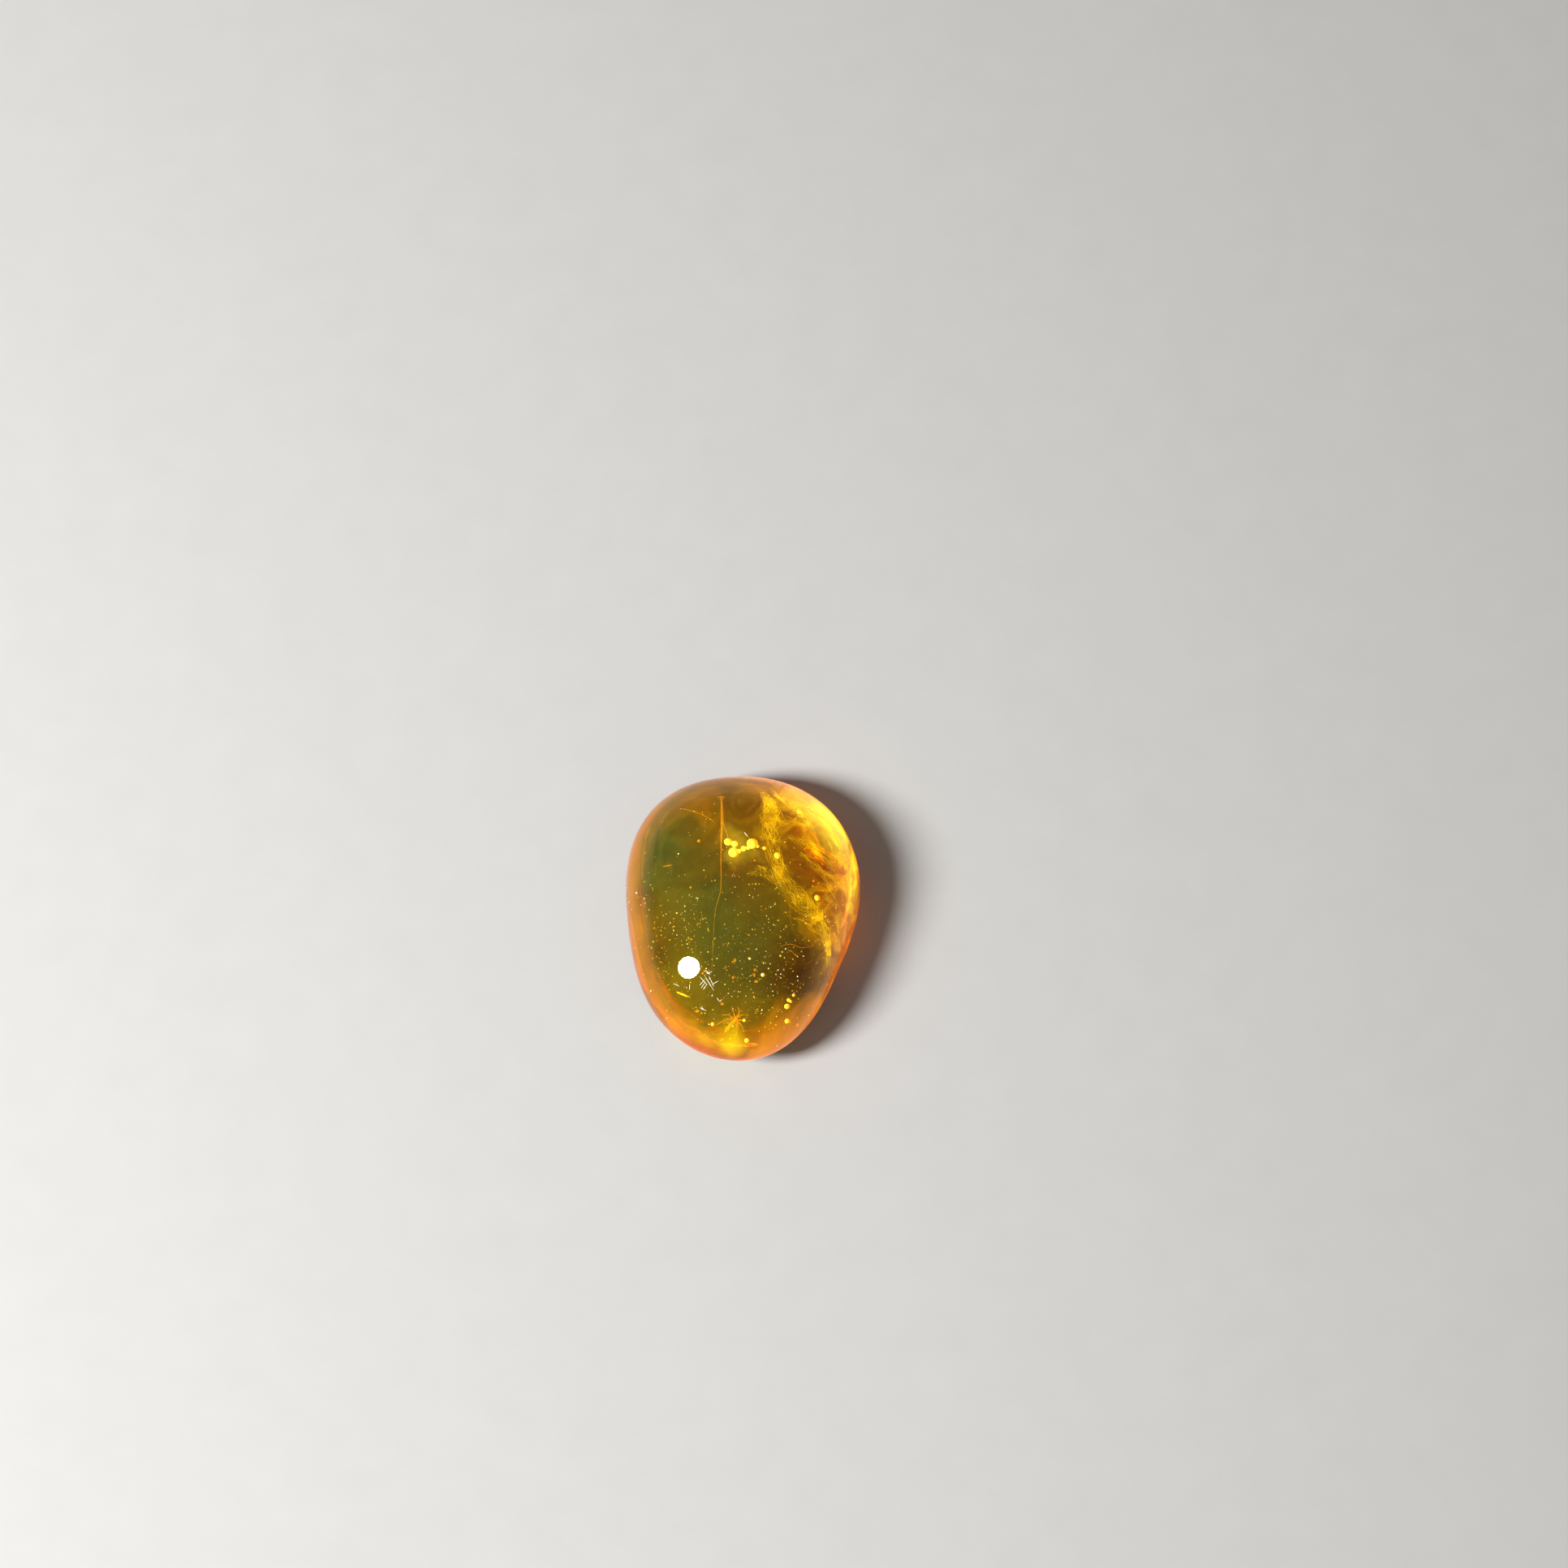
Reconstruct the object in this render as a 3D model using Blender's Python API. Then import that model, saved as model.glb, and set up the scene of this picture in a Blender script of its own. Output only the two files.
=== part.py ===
"""Insect in amber: a small polished pebble of clear amber with a midge sealed near its narrow end.

A hair, a tuft of fibres, a seed and two slivers of plant are sealed in it too. All of them lie at
one level, where the amber is parted, so that each has a pocket half in amber_top and half in
amber_base. Metres, +Z up, +Y towards the wide end of the pebble. The origin is on the surface that
it rests on, under the middle of its outline.
"""

import math

import bmesh
import bpy
from mathutils import Matrix, Vector

MM = 0.001

# The pebble
WIDTH = 20.6 * MM
LENGTH = 26.1 * MM
HEIGHT = 11.1 * MM
GIRDLE_HEIGHT = 3.6 * MM
GIRDLE_LIFT = 1.1 * MM
LIFT_AZIMUTH = math.radians(225)
SUMMIT = Vector((-0.1, -0.3, 0.0)) * MM
FACET_CENTRE = Vector((0.8, 1.0, 0.0)) * MM
FACET_SHARE = 0.30
# Below the girdle the section is a superellipse of this power, a little flatter than an ellipse
BASE_POWER = 1.8
# Cosine and sine share of the wave that goes once, twice, three, four and five times round the outline
OUTLINE_WAVES = (
    (0.001, 0.012),
    (-0.038, 0.023),
    (0.011, 0.046),
    (-0.012, 0.006),
    (0.006, 0.002),
)
SEGMENTS = 64
RINGS = 36

# Where the amber is parted, which is the level of what is sealed in it, and the room round each piece
PARTING_HEIGHT = 5.0 * MM
GAP = 0.3 * MM
CLEARANCE = 0.3 * MM

# The midge: head towards its own +Y, back up, and its place in the pebble
MIDGE_PLACE = Vector((-0.8 * MM, -9.3 * MM, PARTING_HEIGHT))
MIDGE_HEADING = math.radians(-38)
MIDGE_ROLL = math.radians(12)
THORAX_CENTRE = Vector((0.0, 0.30, 0.02)) * MM
THORAX_SIZE = Vector((0.46, 0.60, 0.52)) * MM
HEAD_CENTRE = Vector((0.0, 0.66, -0.06)) * MM
HEAD_SIZE = Vector((0.34, 0.28, 0.32)) * MM
ABDOMEN_PATH = (
    (0.0, 0.20, -0.02),
    (0.0, -0.15, -0.03),
    (0.0, -0.50, -0.06),
    (0.0, -0.85, -0.12),
    (0.0, -1.02, -0.15),
)
ABDOMEN_RADII = (0.17, 0.20, 0.17, 0.11, 0.04)
WING_SIZE = Vector((0.44, 1.20, 0.05)) * MM
WING_ROOT = Vector((0.13, 0.34, 0.22)) * MM
WING_SWEEP = math.radians(22)
WING_RISE = math.radians(10)
LEG_RADIUS = 0.035
# From the hip, over the knee and the ankle, to the foot: right side, front to back
LEG_PATHS = (
    ((0.10, 0.42, -0.16), (0.48, 0.66, -0.02), (0.72, 0.92, -0.34), (0.86, 1.06, -0.40)),
    ((0.12, 0.30, -0.18), (0.60, 0.26, 0.04), (0.90, 0.12, -0.36), (1.06, 0.04, -0.42)),
    ((0.11, 0.18, -0.18), (0.56, -0.22, 0.08), (0.78, -0.66, -0.30), (0.86, -0.92, -0.38)),
)
FEELER_RADIUS = 0.028
FEELER_PATH = ((0.06, 0.76, 0.02), (0.18, 0.94, 0.12), (0.34, 1.08, 0.12), (0.48, 1.16, 0.06))
MIDGE_POCKET_SIZE = Vector((3.0, 3.5, 1.9)) * MM

# The hair: a fine straight plant hair with one swelling, along the pebble (x and y of its route)
HAIR_ROUTE = ((-1.8, 9.6), (-1.7, 7.5), (-1.74, 5.8), (-1.74, 3.9), (-1.68, 1.6), (-2.1, -0.6), (-2.4, -5.4))
HAIR_RADII = (0.06, 0.14, 0.08, 0.08, 0.07, 0.06, 0.05)

# The tuft: a flat feathery bundle of fibres that curves down the right side (x and y of its route)
TUFT_ROUTE = ((1.6, 10.1), (2.2, 8.1), (2.1, 5.7), (2.7, 3.0), (4.2, 0.8), (5.9, -0.9), (6.9, -3.7))
TUFT_RADII = (0.4, 1.2, 1.1, 1.0, 1.3, 1.0, 0.3)
TUFT_FLATNESS = 0.45

# The seed and the slivers: (x and y of the middle in mm, length, thickness, heading)
SEED = ((-3.0, -9.45), 1.10 * MM, 0.40 * MM, math.radians(2))
SLIVER_LEFT = ((-5.72, 3.76), 0.80 * MM, 0.16 * MM, math.radians(4))
SLIVER_FRONT = ((-4.62, -6.98), 1.00 * MM, 0.18 * MM, math.radians(-25))

AMBER_COLOUR = (0.80, 0.42, 0.03, 1.0)
CHITIN_COLOUR = (0.16, 0.045, 0.012, 1.0)
HAIR_COLOUR = (0.70, 0.36, 0.05, 1.0)
FIBRE_COLOUR = (0.85, 0.62, 0.10, 1.0)
SEED_COLOUR = (0.12, 0.05, 0.015, 1.0)
SLIVER_COLOUR = (0.75, 0.40, 0.08, 1.0)


def clear_scene():
    """Remove every object that the scene starts with."""
    for thing in list(bpy.data.objects):
        bpy.data.objects.remove(thing, do_unlink=True)


def new_collection(name):
    """A collection under the scene's own."""
    collection = bpy.data.collections.new(name)
    bpy.context.scene.collection.children.link(collection)
    return collection


def new_material(name, colour, roughness, transmission=0.0):
    """A Principled material with one colour."""
    material = bpy.data.materials.new(name)
    material.use_nodes = True
    shader = material.node_tree.nodes["Principled BSDF"]
    shader.inputs["Base Color"].default_value = colour
    shader.inputs["Roughness"].default_value = roughness
    shader.inputs["Metallic"].default_value = 0.0
    shader.inputs["Transmission Weight"].default_value = transmission
    shader.inputs["IOR"].default_value = 1.54
    return material


def object_from(mesh_builder, name, collection, material=None):
    """An object that holds what a bmesh holds, shaded smooth, in a collection."""
    mesh = bpy.data.meshes.new(name)
    mesh_builder.to_mesh(mesh)
    mesh_builder.free()
    mesh.shade_smooth()
    if material:
        mesh.materials.append(material)
    made = bpy.data.objects.new(name, mesh)
    collection.objects.link(made)
    return made


def as_cutter(thing):
    """Keep a helper out of the finished part."""
    thing.hide_render = True
    thing.display_type = "WIRE"
    return thing


def boolean(target, other, operation):
    """One exact Boolean on the target."""
    modifier = target.modifiers.new(f"{operation} {other.name}", "BOOLEAN")
    modifier.operation = operation
    modifier.solver = "EXACT"
    modifier.object = other


def ellipsoid(name, centre, size, collection, turn=None, segments=16, rings=10):
    """A ball stretched to a size, turned, and put at its centre."""
    ball = bmesh.new()
    bmesh.ops.create_uvsphere(ball, u_segments=segments, v_segments=rings, radius=0.5)
    place = Matrix.Translation(centre) @ (turn or Matrix.Identity(4)) @ Matrix.Diagonal((*size, 1.0))
    bmesh.ops.transform(ball, matrix=place, verts=ball.verts)
    return object_from(ball, name, collection)


def catmull_rom(a, b, c, d, t):
    """The value at a share t of the way from b to c, with a before them and d after."""
    bend = 2 * a - 5 * b + 4 * c - d
    twist = 3 * b - a - 3 * c + d
    return 0.5 * (2 * b + (c - a) * t + bend * t**2 + twist * t**3)


def smooth_points(points, steps):
    """Points along the Catmull-Rom curve through the given ones, with so many steps in each span."""
    ends = [points[0], *points, points[-1]]
    found = []
    for index in range(len(points) - 1):
        span = ends[index : index + 4]
        for step in range(steps):
            found.append([catmull_rom(*values, step / steps) for values in zip(*span)])
    found.append(list(points[-1]))
    return found


def sealed_path(route):
    """Points in millimetres along a route of x and y, at the parting's height."""
    return [(x, y, PARTING_HEIGHT / MM) for x, y in route]


def tube(name, path_mm, radii_mm, collection, steps=1, bevel_resolution=2, grow=0.0):
    """A closed tube along a path, with a radius at each of its points, all given in millimetres."""
    rows = smooth_points([(*point, radius) for point, radius in zip(path_mm, radii_mm)], steps)
    curve = bpy.data.curves.new(name, "CURVE")
    curve.dimensions = "3D"
    curve.bevel_depth = MM
    curve.bevel_resolution = bevel_resolution
    curve.use_fill_caps = True
    spline = curve.splines.new("POLY")
    spline.points.add(len(rows) - 1)
    for point, (x, y, z, radius) in zip(spline.points, rows):
        point.co = (x * MM, y * MM, z * MM, 1.0)
        point.radius = radius + grow / MM
    drawn = bpy.data.objects.new(name + "_path", curve)
    collection.objects.link(drawn)
    graph = bpy.context.evaluated_depsgraph_get()
    mesh = bpy.data.meshes.new_from_object(drawn.evaluated_get(graph))
    bpy.data.objects.remove(drawn, do_unlink=True)
    welded = bmesh.new()
    welded.from_mesh(mesh)
    bpy.data.meshes.remove(mesh)
    bmesh.ops.remove_doubles(welded, verts=welded.verts, dist=1e-7)
    bmesh.ops.recalc_face_normals(welded, faces=welded.faces)
    return object_from(welded, name, collection)


def outline_reach(azimuth):
    """How far the outline reaches at an angle: one, plus waves that go once to five times round."""
    reach = 1.0
    for turns, (cosine, sine) in enumerate(OUTLINE_WAVES, start=1):
        reach += cosine * math.cos(turns * azimuth) + sine * math.sin(turns * azimuth)
    return reach


def outline_frame():
    """The middle and the size of the unscaled outline."""
    points = []
    for degree in range(360):
        azimuth = math.radians(degree)
        reach = outline_reach(azimuth)
        points.append((reach * math.cos(azimuth), reach * math.sin(azimuth)))
    low = [min(point[axis] for point in points) for axis in (0, 1)]
    high = [max(point[axis] for point in points) for axis in (0, 1)]
    return [(a + b) / 2 for a, b in zip(low, high)], [b - a for a, b in zip(low, high)]


OUTLINE_MIDDLE, OUTLINE_SIZE = outline_frame()


def outline_point(azimuth):
    """A point of the widest outline, scaled to the pebble's width and length."""
    reach = outline_reach(azimuth)
    x = (reach * math.cos(azimuth) - OUTLINE_MIDDLE[0]) * WIDTH / OUTLINE_SIZE[0]
    y = (reach * math.sin(azimuth) - OUTLINE_MIDDLE[1]) * LENGTH / OUTLINE_SIZE[1]
    return Vector((x, y, 0.0))


def pebble_point(azimuth, latitude, last_ring):
    """The pebble's surface: a quarter ellipse from the summit to the girdle, then a flatter one to the facet.

    The girdle is lifted on one side. Below the last ring the surface is the flat resting facet.
    """
    girdle = GIRDLE_HEIGHT + GIRDLE_LIFT * math.cos(azimuth - LIFT_AZIMUTH)
    if latitude >= 0.0:
        share = math.cos(latitude)
        height = girdle + (HEIGHT - girdle) * math.sin(latitude)
        middle = SUMMIT
    else:
        fall = min(1.0, -latitude / last_ring) * math.pi / 2
        share = FACET_SHARE + (1.0 - FACET_SHARE) * max(0.0, math.cos(fall)) ** (2.0 / BASE_POWER)
        if -latitude > 1.01 * last_ring:
            share = 0.0
        height = girdle * (1.0 - math.sin(fall) ** (2.0 / BASE_POWER))
        middle = FACET_CENTRE
    point = outline_point(azimuth) * share + middle * (1.0 - share)
    point.z = height
    return point


def make_pebble(name, collection, material):
    """A ball whose points are moved to the pebble's surface."""
    last_ring = math.pi / 2 - math.pi / RINGS
    ball = bmesh.new()
    bmesh.ops.create_uvsphere(ball, u_segments=SEGMENTS, v_segments=RINGS, radius=1.0)
    for vertex in ball.verts:
        latitude = math.asin(max(-1.0, min(1.0, vertex.co.z)))
        vertex.co = pebble_point(math.atan2(vertex.co.y, vertex.co.x), latitude, last_ring)
    return object_from(ball, name, collection, material)


def slab(name, low, high, collection):
    """A block wider than the pebble between two heights."""
    block = bmesh.new()
    bmesh.ops.create_cube(block, size=1.0)
    size = (2 * WIDTH, 2 * LENGTH, high - low, 1.0)
    place = Matrix.Translation((0.0, 0.0, (low + high) / 2)) @ Matrix.Diagonal(size)
    bmesh.ops.transform(block, matrix=place, verts=block.verts)
    return as_cutter(object_from(block, name, collection))


def spindle(name, piece, collection, material=None, grow=0.0):
    """A short spindle such as a seed or a sliver, grown on every side if asked."""
    (x, y), length, thickness, heading = piece
    middle = Vector((x * MM, y * MM, PARTING_HEIGHT))
    size = Vector((length, thickness, thickness)) + Vector((2 * grow,) * 3)
    made = ellipsoid(name, middle, size, collection, Matrix.Rotation(heading, 4, "Z"), 12, 8)
    if material:
        made.data.materials.append(material)
    return made


def flatten(thing, share, height):
    """Squeeze an object's mesh towards a level."""
    for vertex in thing.data.vertices:
        vertex.co.z = height + (vertex.co.z - height) * share


def make_midge(parts, cutters, material):
    """Head, thorax, abdomen, wings, legs and feelers of the midge, joined in one solid."""
    thorax = ellipsoid("insect", THORAX_CENTRE, THORAX_SIZE, parts)
    thorax.data.materials.append(material)
    grown = [ellipsoid("midge_head", HEAD_CENTRE, HEAD_SIZE, cutters)]
    grown.append(tube("midge_abdomen", ABDOMEN_PATH, ABDOMEN_RADII, cutters, steps=2))
    for side, word in ((1, "right"), (-1, "left")):
        sweep = Matrix.Rotation(side * WING_SWEEP, 4, "Z") @ Matrix.Rotation(-WING_RISE, 4, "X")
        root = Vector((side * WING_ROOT.x, WING_ROOT.y, WING_ROOT.z))
        centre = root + sweep.to_3x3() @ Vector((0.0, -WING_SIZE.y / 2, 0.0))
        grown.append(ellipsoid(f"midge_wing_{word}", centre, WING_SIZE, cutters, sweep, 14, 6))
        for index, path in enumerate(LEG_PATHS, start=1):
            turned = [(side * x, y, z) for x, y, z in path]
            radii = [LEG_RADIUS] * len(turned)
            name = f"midge_leg_{word}_{index}"
            grown.append(tube(name, turned, radii, cutters, steps=2, bevel_resolution=1))
        turned = [(side * x, y, z) for x, y, z in FEELER_PATH]
        radii = [FEELER_RADIUS] * len(turned)
        grown.append(tube(f"midge_feeler_{word}", turned, radii, cutters, bevel_resolution=1))
    place = (
        Matrix.Translation(MIDGE_PLACE)
        @ Matrix.Rotation(MIDGE_HEADING, 4, "Z")
        @ Matrix.Rotation(MIDGE_ROLL, 4, "Y")
    )
    for piece in (thorax, *grown):
        piece.data.transform(place)
    for piece in grown:
        boolean(thorax, as_cutter(piece), "UNION")
    return thorax


def make_pockets(cutters):
    """The hollow round each sealed piece, larger than it by the clearance."""
    turn = Matrix.Rotation(MIDGE_HEADING, 4, "Z")
    hair_path = sealed_path(HAIR_ROUTE)
    tuft_path = sealed_path(TUFT_ROUTE)
    tuft = tube("tuft_pocket", tuft_path, TUFT_RADII, cutters, steps=2, bevel_resolution=3, grow=CLEARANCE)
    tuft_depth = (max(TUFT_RADII) * MM * TUFT_FLATNESS + CLEARANCE) / (max(TUFT_RADII) * MM + CLEARANCE)
    flatten(tuft, tuft_depth, PARTING_HEIGHT)
    pockets = [
        ellipsoid("midge_pocket", MIDGE_PLACE, MIDGE_POCKET_SIZE, cutters, turn, 24, 14),
        tube("hair_pocket", hair_path, HAIR_RADII, cutters, grow=CLEARANCE),
        tuft,
        spindle("seed_pocket", SEED, cutters, grow=CLEARANCE),
        spindle("sliver_left_pocket", SLIVER_LEFT, cutters, grow=CLEARANCE),
        spindle("sliver_front_pocket", SLIVER_FRONT, cutters, grow=CLEARANCE),
    ]
    return [as_cutter(pocket) for pocket in pockets]


def make_amber(parts, cutters, pockets):
    """The pebble, parted level with what is sealed in it."""
    material = new_material("clear amber", AMBER_COLOUR, 0.03, transmission=1.0)
    above = slab("above_parting", PARTING_HEIGHT - GAP / 2, 2 * HEIGHT, cutters)
    below = slab("below_parting", -HEIGHT, PARTING_HEIGHT + GAP / 2, cutters)
    for name, cut_away in (("amber_base", above), ("amber_top", below)):
        half = make_pebble(name, parts, material)
        for cutter in (cut_away, *pockets):
            boolean(half, cutter, "DIFFERENCE")


def main():
    """Build the amber and everything sealed in it."""
    clear_scene()
    parts = new_collection("insect_in_amber")
    cutters = new_collection("cutters")
    make_midge(parts, cutters, new_material("midge chitin", CHITIN_COLOUR, 0.45))
    hair = tube("plant_hair", sealed_path(HAIR_ROUTE), HAIR_RADII, parts, steps=2)
    hair.data.materials.append(new_material("plant hair", HAIR_COLOUR, 0.5))
    tuft = tube("fibre_tuft", sealed_path(TUFT_ROUTE), TUFT_RADII, parts, steps=2, bevel_resolution=3)
    flatten(tuft, TUFT_FLATNESS, PARTING_HEIGHT)
    tuft.data.materials.append(new_material("plant fibres", FIBRE_COLOUR, 0.6))
    spindle("seed", SEED, parts, new_material("seed coat", SEED_COLOUR, 0.4))
    sliver = new_material("plant sliver", SLIVER_COLOUR, 0.5)
    spindle("sliver_left", SLIVER_LEFT, parts, sliver)
    spindle("sliver_front", SLIVER_FRONT, parts, sliver)
    make_amber(parts, cutters, make_pockets(cutters))


main()
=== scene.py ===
"""Insect in amber: the looks of a polished pebble of amber and of what the resin closed round.

Metres, +Z up, +Y towards the pebble's wide end. After the studio, the sections follow the order in
which the pieces were sealed, from the clear pebble round them to the dust between them.
"""

import math

import bpy
import numpy as np
from mathutils import Matrix, Vector


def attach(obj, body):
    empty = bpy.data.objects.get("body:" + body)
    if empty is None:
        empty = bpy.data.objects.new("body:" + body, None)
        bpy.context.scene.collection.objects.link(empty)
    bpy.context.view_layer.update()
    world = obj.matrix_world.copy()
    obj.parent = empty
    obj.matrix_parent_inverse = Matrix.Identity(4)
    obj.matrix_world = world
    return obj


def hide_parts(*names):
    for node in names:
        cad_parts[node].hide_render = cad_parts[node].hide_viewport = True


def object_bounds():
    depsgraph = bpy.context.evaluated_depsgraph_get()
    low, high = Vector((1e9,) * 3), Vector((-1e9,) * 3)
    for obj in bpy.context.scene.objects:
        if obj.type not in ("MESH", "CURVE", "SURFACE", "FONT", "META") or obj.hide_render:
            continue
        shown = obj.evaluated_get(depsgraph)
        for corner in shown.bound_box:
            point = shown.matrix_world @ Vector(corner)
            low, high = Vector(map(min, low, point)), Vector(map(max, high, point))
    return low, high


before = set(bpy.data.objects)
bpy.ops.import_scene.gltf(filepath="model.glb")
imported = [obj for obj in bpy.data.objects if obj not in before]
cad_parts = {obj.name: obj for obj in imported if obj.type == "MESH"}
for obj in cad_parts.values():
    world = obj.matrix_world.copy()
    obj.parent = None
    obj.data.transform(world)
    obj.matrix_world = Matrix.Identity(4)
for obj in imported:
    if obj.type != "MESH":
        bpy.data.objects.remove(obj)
cad_low, cad_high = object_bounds()
MM = 0.001

# ------------ Studio
# The pebble lies on a plain pale board. One broad lamp stands at its front left, and the room
# gives a soft light that is strongest low on the left and weak overhead.

CAMERA_ELEVATION = math.radians(73)
CAMERA_DISTANCE = 0.5
FRAME_SPAN = 137.6 * MM
STONE_RIGHT_OF_MIDDLE = -3.6 * MM
STONE_ABOVE_MIDDLE = -11.8 * MM
LOOKED_AT_HEIGHT = 3.58 * MM
SENSOR = 36.0

LAMP_AZIMUTH = math.radians(200)
LAMP_ELEVATION = math.radians(47)
LAMP_DISTANCE = 0.5
LAMP_SIZE = (0.108, 0.194)
LAMP_ROLL = math.radians(-17)
LAMP_POWER = 3.3

LEFT_WALL = (0.56, 0.55, 0.53)
RIGHT_WALL = (0.37, 0.365, 0.355)
BACK_WALL = (0.33, 0.33, 0.325)
WALL_TURN = (0.45, -0.55)
BACK_TURN = (0.3, 0.85)
CEILING_LIGHT = (0.12, 0.122, 0.125)
CEILING_START = 0.3
WINDOW_LIGHT = (0.3, 0.295, 0.285)
WINDOW_DIRECTION = (-0.98, 0.18, 0.0)
WINDOW_EDGES = (0.6, 0.9)
WINDOW_TOP = (0.16, 0.04)

FLOOR_SIZE = 0.84
FLOOR_DEPTH = 0.02 * MM
FLOOR_COLOUR = (0.62, 0.61, 0.59)
FLOOR_GRAIN = (0.66, 0.65, 0.63)
FLOOR_ROUGHNESS = 0.85
LIGHT_BOUNCES = 18


def feed(tree, socket, value):
    """Join an output to an input, or set the input to a plain number, vector or colour."""
    if isinstance(value, bpy.types.NodeSocket):
        tree.links.new(value, socket)
    elif isinstance(value, tuple) and len(value) == 3 and socket.type == "RGBA":
        socket.default_value = (*value, 1.0)
    else:
        socket.default_value = value


def fit(tree, made, **settings):
    """A node given values for its inputs, with spaces as underscores, or for its properties."""
    for key, value in settings.items():
        words = key.replace("_", " ")
        if words in made.inputs:
            feed(tree, made.inputs[words], value)
        else:
            setattr(made, key, value)
    return made


def node(tree, kind, **settings):
    """A new node of a tree, given its values."""
    return fit(tree, tree.nodes.new("ShaderNode" + kind), **settings)


def reckon(tree, kind, way, *values):
    """What a Math or VectorMath node makes of some values in one of its ways."""
    made = node(tree, kind, operation=way)
    for socket, value in zip(made.inputs, values):
        feed(tree, socket, value)
    return made.outputs[int(way in ("DOT_PRODUCT", "DISTANCE"))]


def blend(tree, share, first, second, way="MIX"):
    """The first colour changed to the second by a share, or combined with it in another way."""
    mixed = node(tree, "Mix", data_type="RGBA", blend_type=way)
    for index, value in ((0, share), (6, first), (7, second)):
        feed(tree, mixed.inputs[index], value)
    return mixed.outputs[2]


def step(tree, value, start, end, top=1.0):
    """Nothing before the start, the top after the end and smooth between them."""
    made = node(tree, "MapRange", interpolation_type="SMOOTHSTEP", Value=value)
    return fit(tree, made, From_Min=start, From_Max=end, To_Max=top).outputs["Result"]


def new_material(name, roughness, **plain):
    """A material with its node tree, its shader and the place in the piece's own coordinates."""
    material = bpy.data.materials.new(name)
    material.use_nodes = True
    tree = material.node_tree
    shader = fit(tree, tree.nodes["Principled BSDF"], Roughness=roughness, **plain)
    return material, tree, shader, node(tree, "TexCoord").outputs["Object"]


def facing(azimuth, elevation):
    """The unit vector at an angle round from +X and an angle above the level."""
    level = math.cos(elevation)
    return Vector((level * math.cos(azimuth), level * math.sin(azimuth), math.sin(elevation)))


def add_object(name, data):
    """An object in the scene."""
    made = bpy.data.objects.new(name, data)
    bpy.context.scene.collection.objects.link(made)
    return made


def add_camera():
    """The camera, aimed beside the pebble so that the pebble stands left of and below the middle."""
    data = bpy.data.cameras.new("camera")
    data.sensor_width = SENSOR
    data.lens = SENSOR * CAMERA_DISTANCE / FRAME_SPAN
    back = Vector((0.0, -math.cos(CAMERA_ELEVATION), math.sin(CAMERA_ELEVATION)))
    upward = Vector((0.0, math.sin(CAMERA_ELEVATION), math.cos(CAMERA_ELEVATION)))
    aim = Vector((-STONE_RIGHT_OF_MIDDLE, 0.0, LOOKED_AT_HEIGHT)) - upward * STONE_ABOVE_MIDDLE
    camera = add_object("camera", data)
    camera.location = aim + back * CAMERA_DISTANCE
    camera.rotation_euler = (math.pi / 2 - CAMERA_ELEVATION, 0.0, 0.0)
    bpy.context.scene.camera = camera


def add_lamp():
    """The broad lamp, turned to the pebble."""
    data = bpy.data.lights.new("lamp", "AREA")
    data.shape = "ELLIPSE"
    data.size, data.size_y = LAMP_SIZE
    data.energy = LAMP_POWER
    lamp = add_object("lamp", data)
    lamp.location = facing(LAMP_AZIMUTH, LAMP_ELEVATION) * LAMP_DISTANCE
    turned = (-lamp.location).to_track_quat("-Z", "Y").to_matrix() @ Matrix.Rotation(LAMP_ROLL, 3, "Z")
    lamp.rotation_euler = turned.to_euler()


def add_room():
    """The room's light: pale at the walls, dim overhead, and brightest at the window."""
    world = bpy.data.worlds.new("room")
    bpy.context.scene.world = world
    world.use_nodes = True
    tree = world.node_tree
    towards = node(tree, "TexCoord").outputs["Generated"]
    split = node(tree, "SeparateXYZ", Vector=towards).outputs
    walls = blend(tree, step(tree, split["X"], *WALL_TURN), RIGHT_WALL, LEFT_WALL)
    walls = blend(tree, step(tree, split["Y"], *BACK_TURN), walls, BACK_WALL)
    walls = blend(tree, step(tree, split["Z"], 0.0, CEILING_START), walls, CEILING_LIGHT)
    aside = Vector(WINDOW_DIRECTION).normalized()
    window = step(tree, reckon(tree, "VectorMath", "DOT_PRODUCT", towards, aside), *WINDOW_EDGES)
    window = reckon(tree, "Math", "MULTIPLY", window, step(tree, split["Z"], *WINDOW_TOP))
    fit(tree, tree.nodes["Background"], Color=blend(tree, window, walls, WINDOW_LIGHT, "ADD"))


def add_floor():
    """A pale board just under the pebble."""
    half = FLOOR_SIZE / 2
    data = bpy.data.meshes.new("floor")
    square = ((-1, -1), (1, -1), (1, 1), (-1, 1))
    data.from_pydata([(x * half, y * half, -FLOOR_DEPTH) for x, y in square], [], [(0, 1, 2, 3)])
    board, tree, shader, place = new_material("pale_board", FLOOR_ROUGHNESS, Specular_IOR_Level=0.25)
    grain = node(tree, "TexNoise", Vector=place, Scale=260.0, Detail=4.0)
    fit(tree, shader, Base_Color=blend(tree, grain.outputs["Fac"], FLOOR_COLOUR, FLOOR_GRAIN))
    data.materials.append(board)
    add_object("floor", data)


def set_light_paths():
    """No caustics, enough bounces for light turned back inside the amber, and plain colours."""
    cycles = bpy.context.scene.cycles
    cycles.caustics_reflective = False
    cycles.caustics_refractive = False
    cycles.max_bounces = LIGHT_BOUNCES
    cycles.transmission_bounces = LIGHT_BOUNCES
    cycles.glossy_bounces = 10
    cycles.transparent_max_bounces = 12
    cycles.use_denoising = True
    bpy.context.scene.view_settings.view_transform = "Standard"


add_camera()
add_lamp()
add_room()
add_floor()
set_light_paths()

# ------------ The amber
# One unbroken pebble of clear Baltic amber, tumbled and polished by hand: a high dome over a
# rounded underside that rests on a small flat spot. It stands for both halves of the solid.

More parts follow.
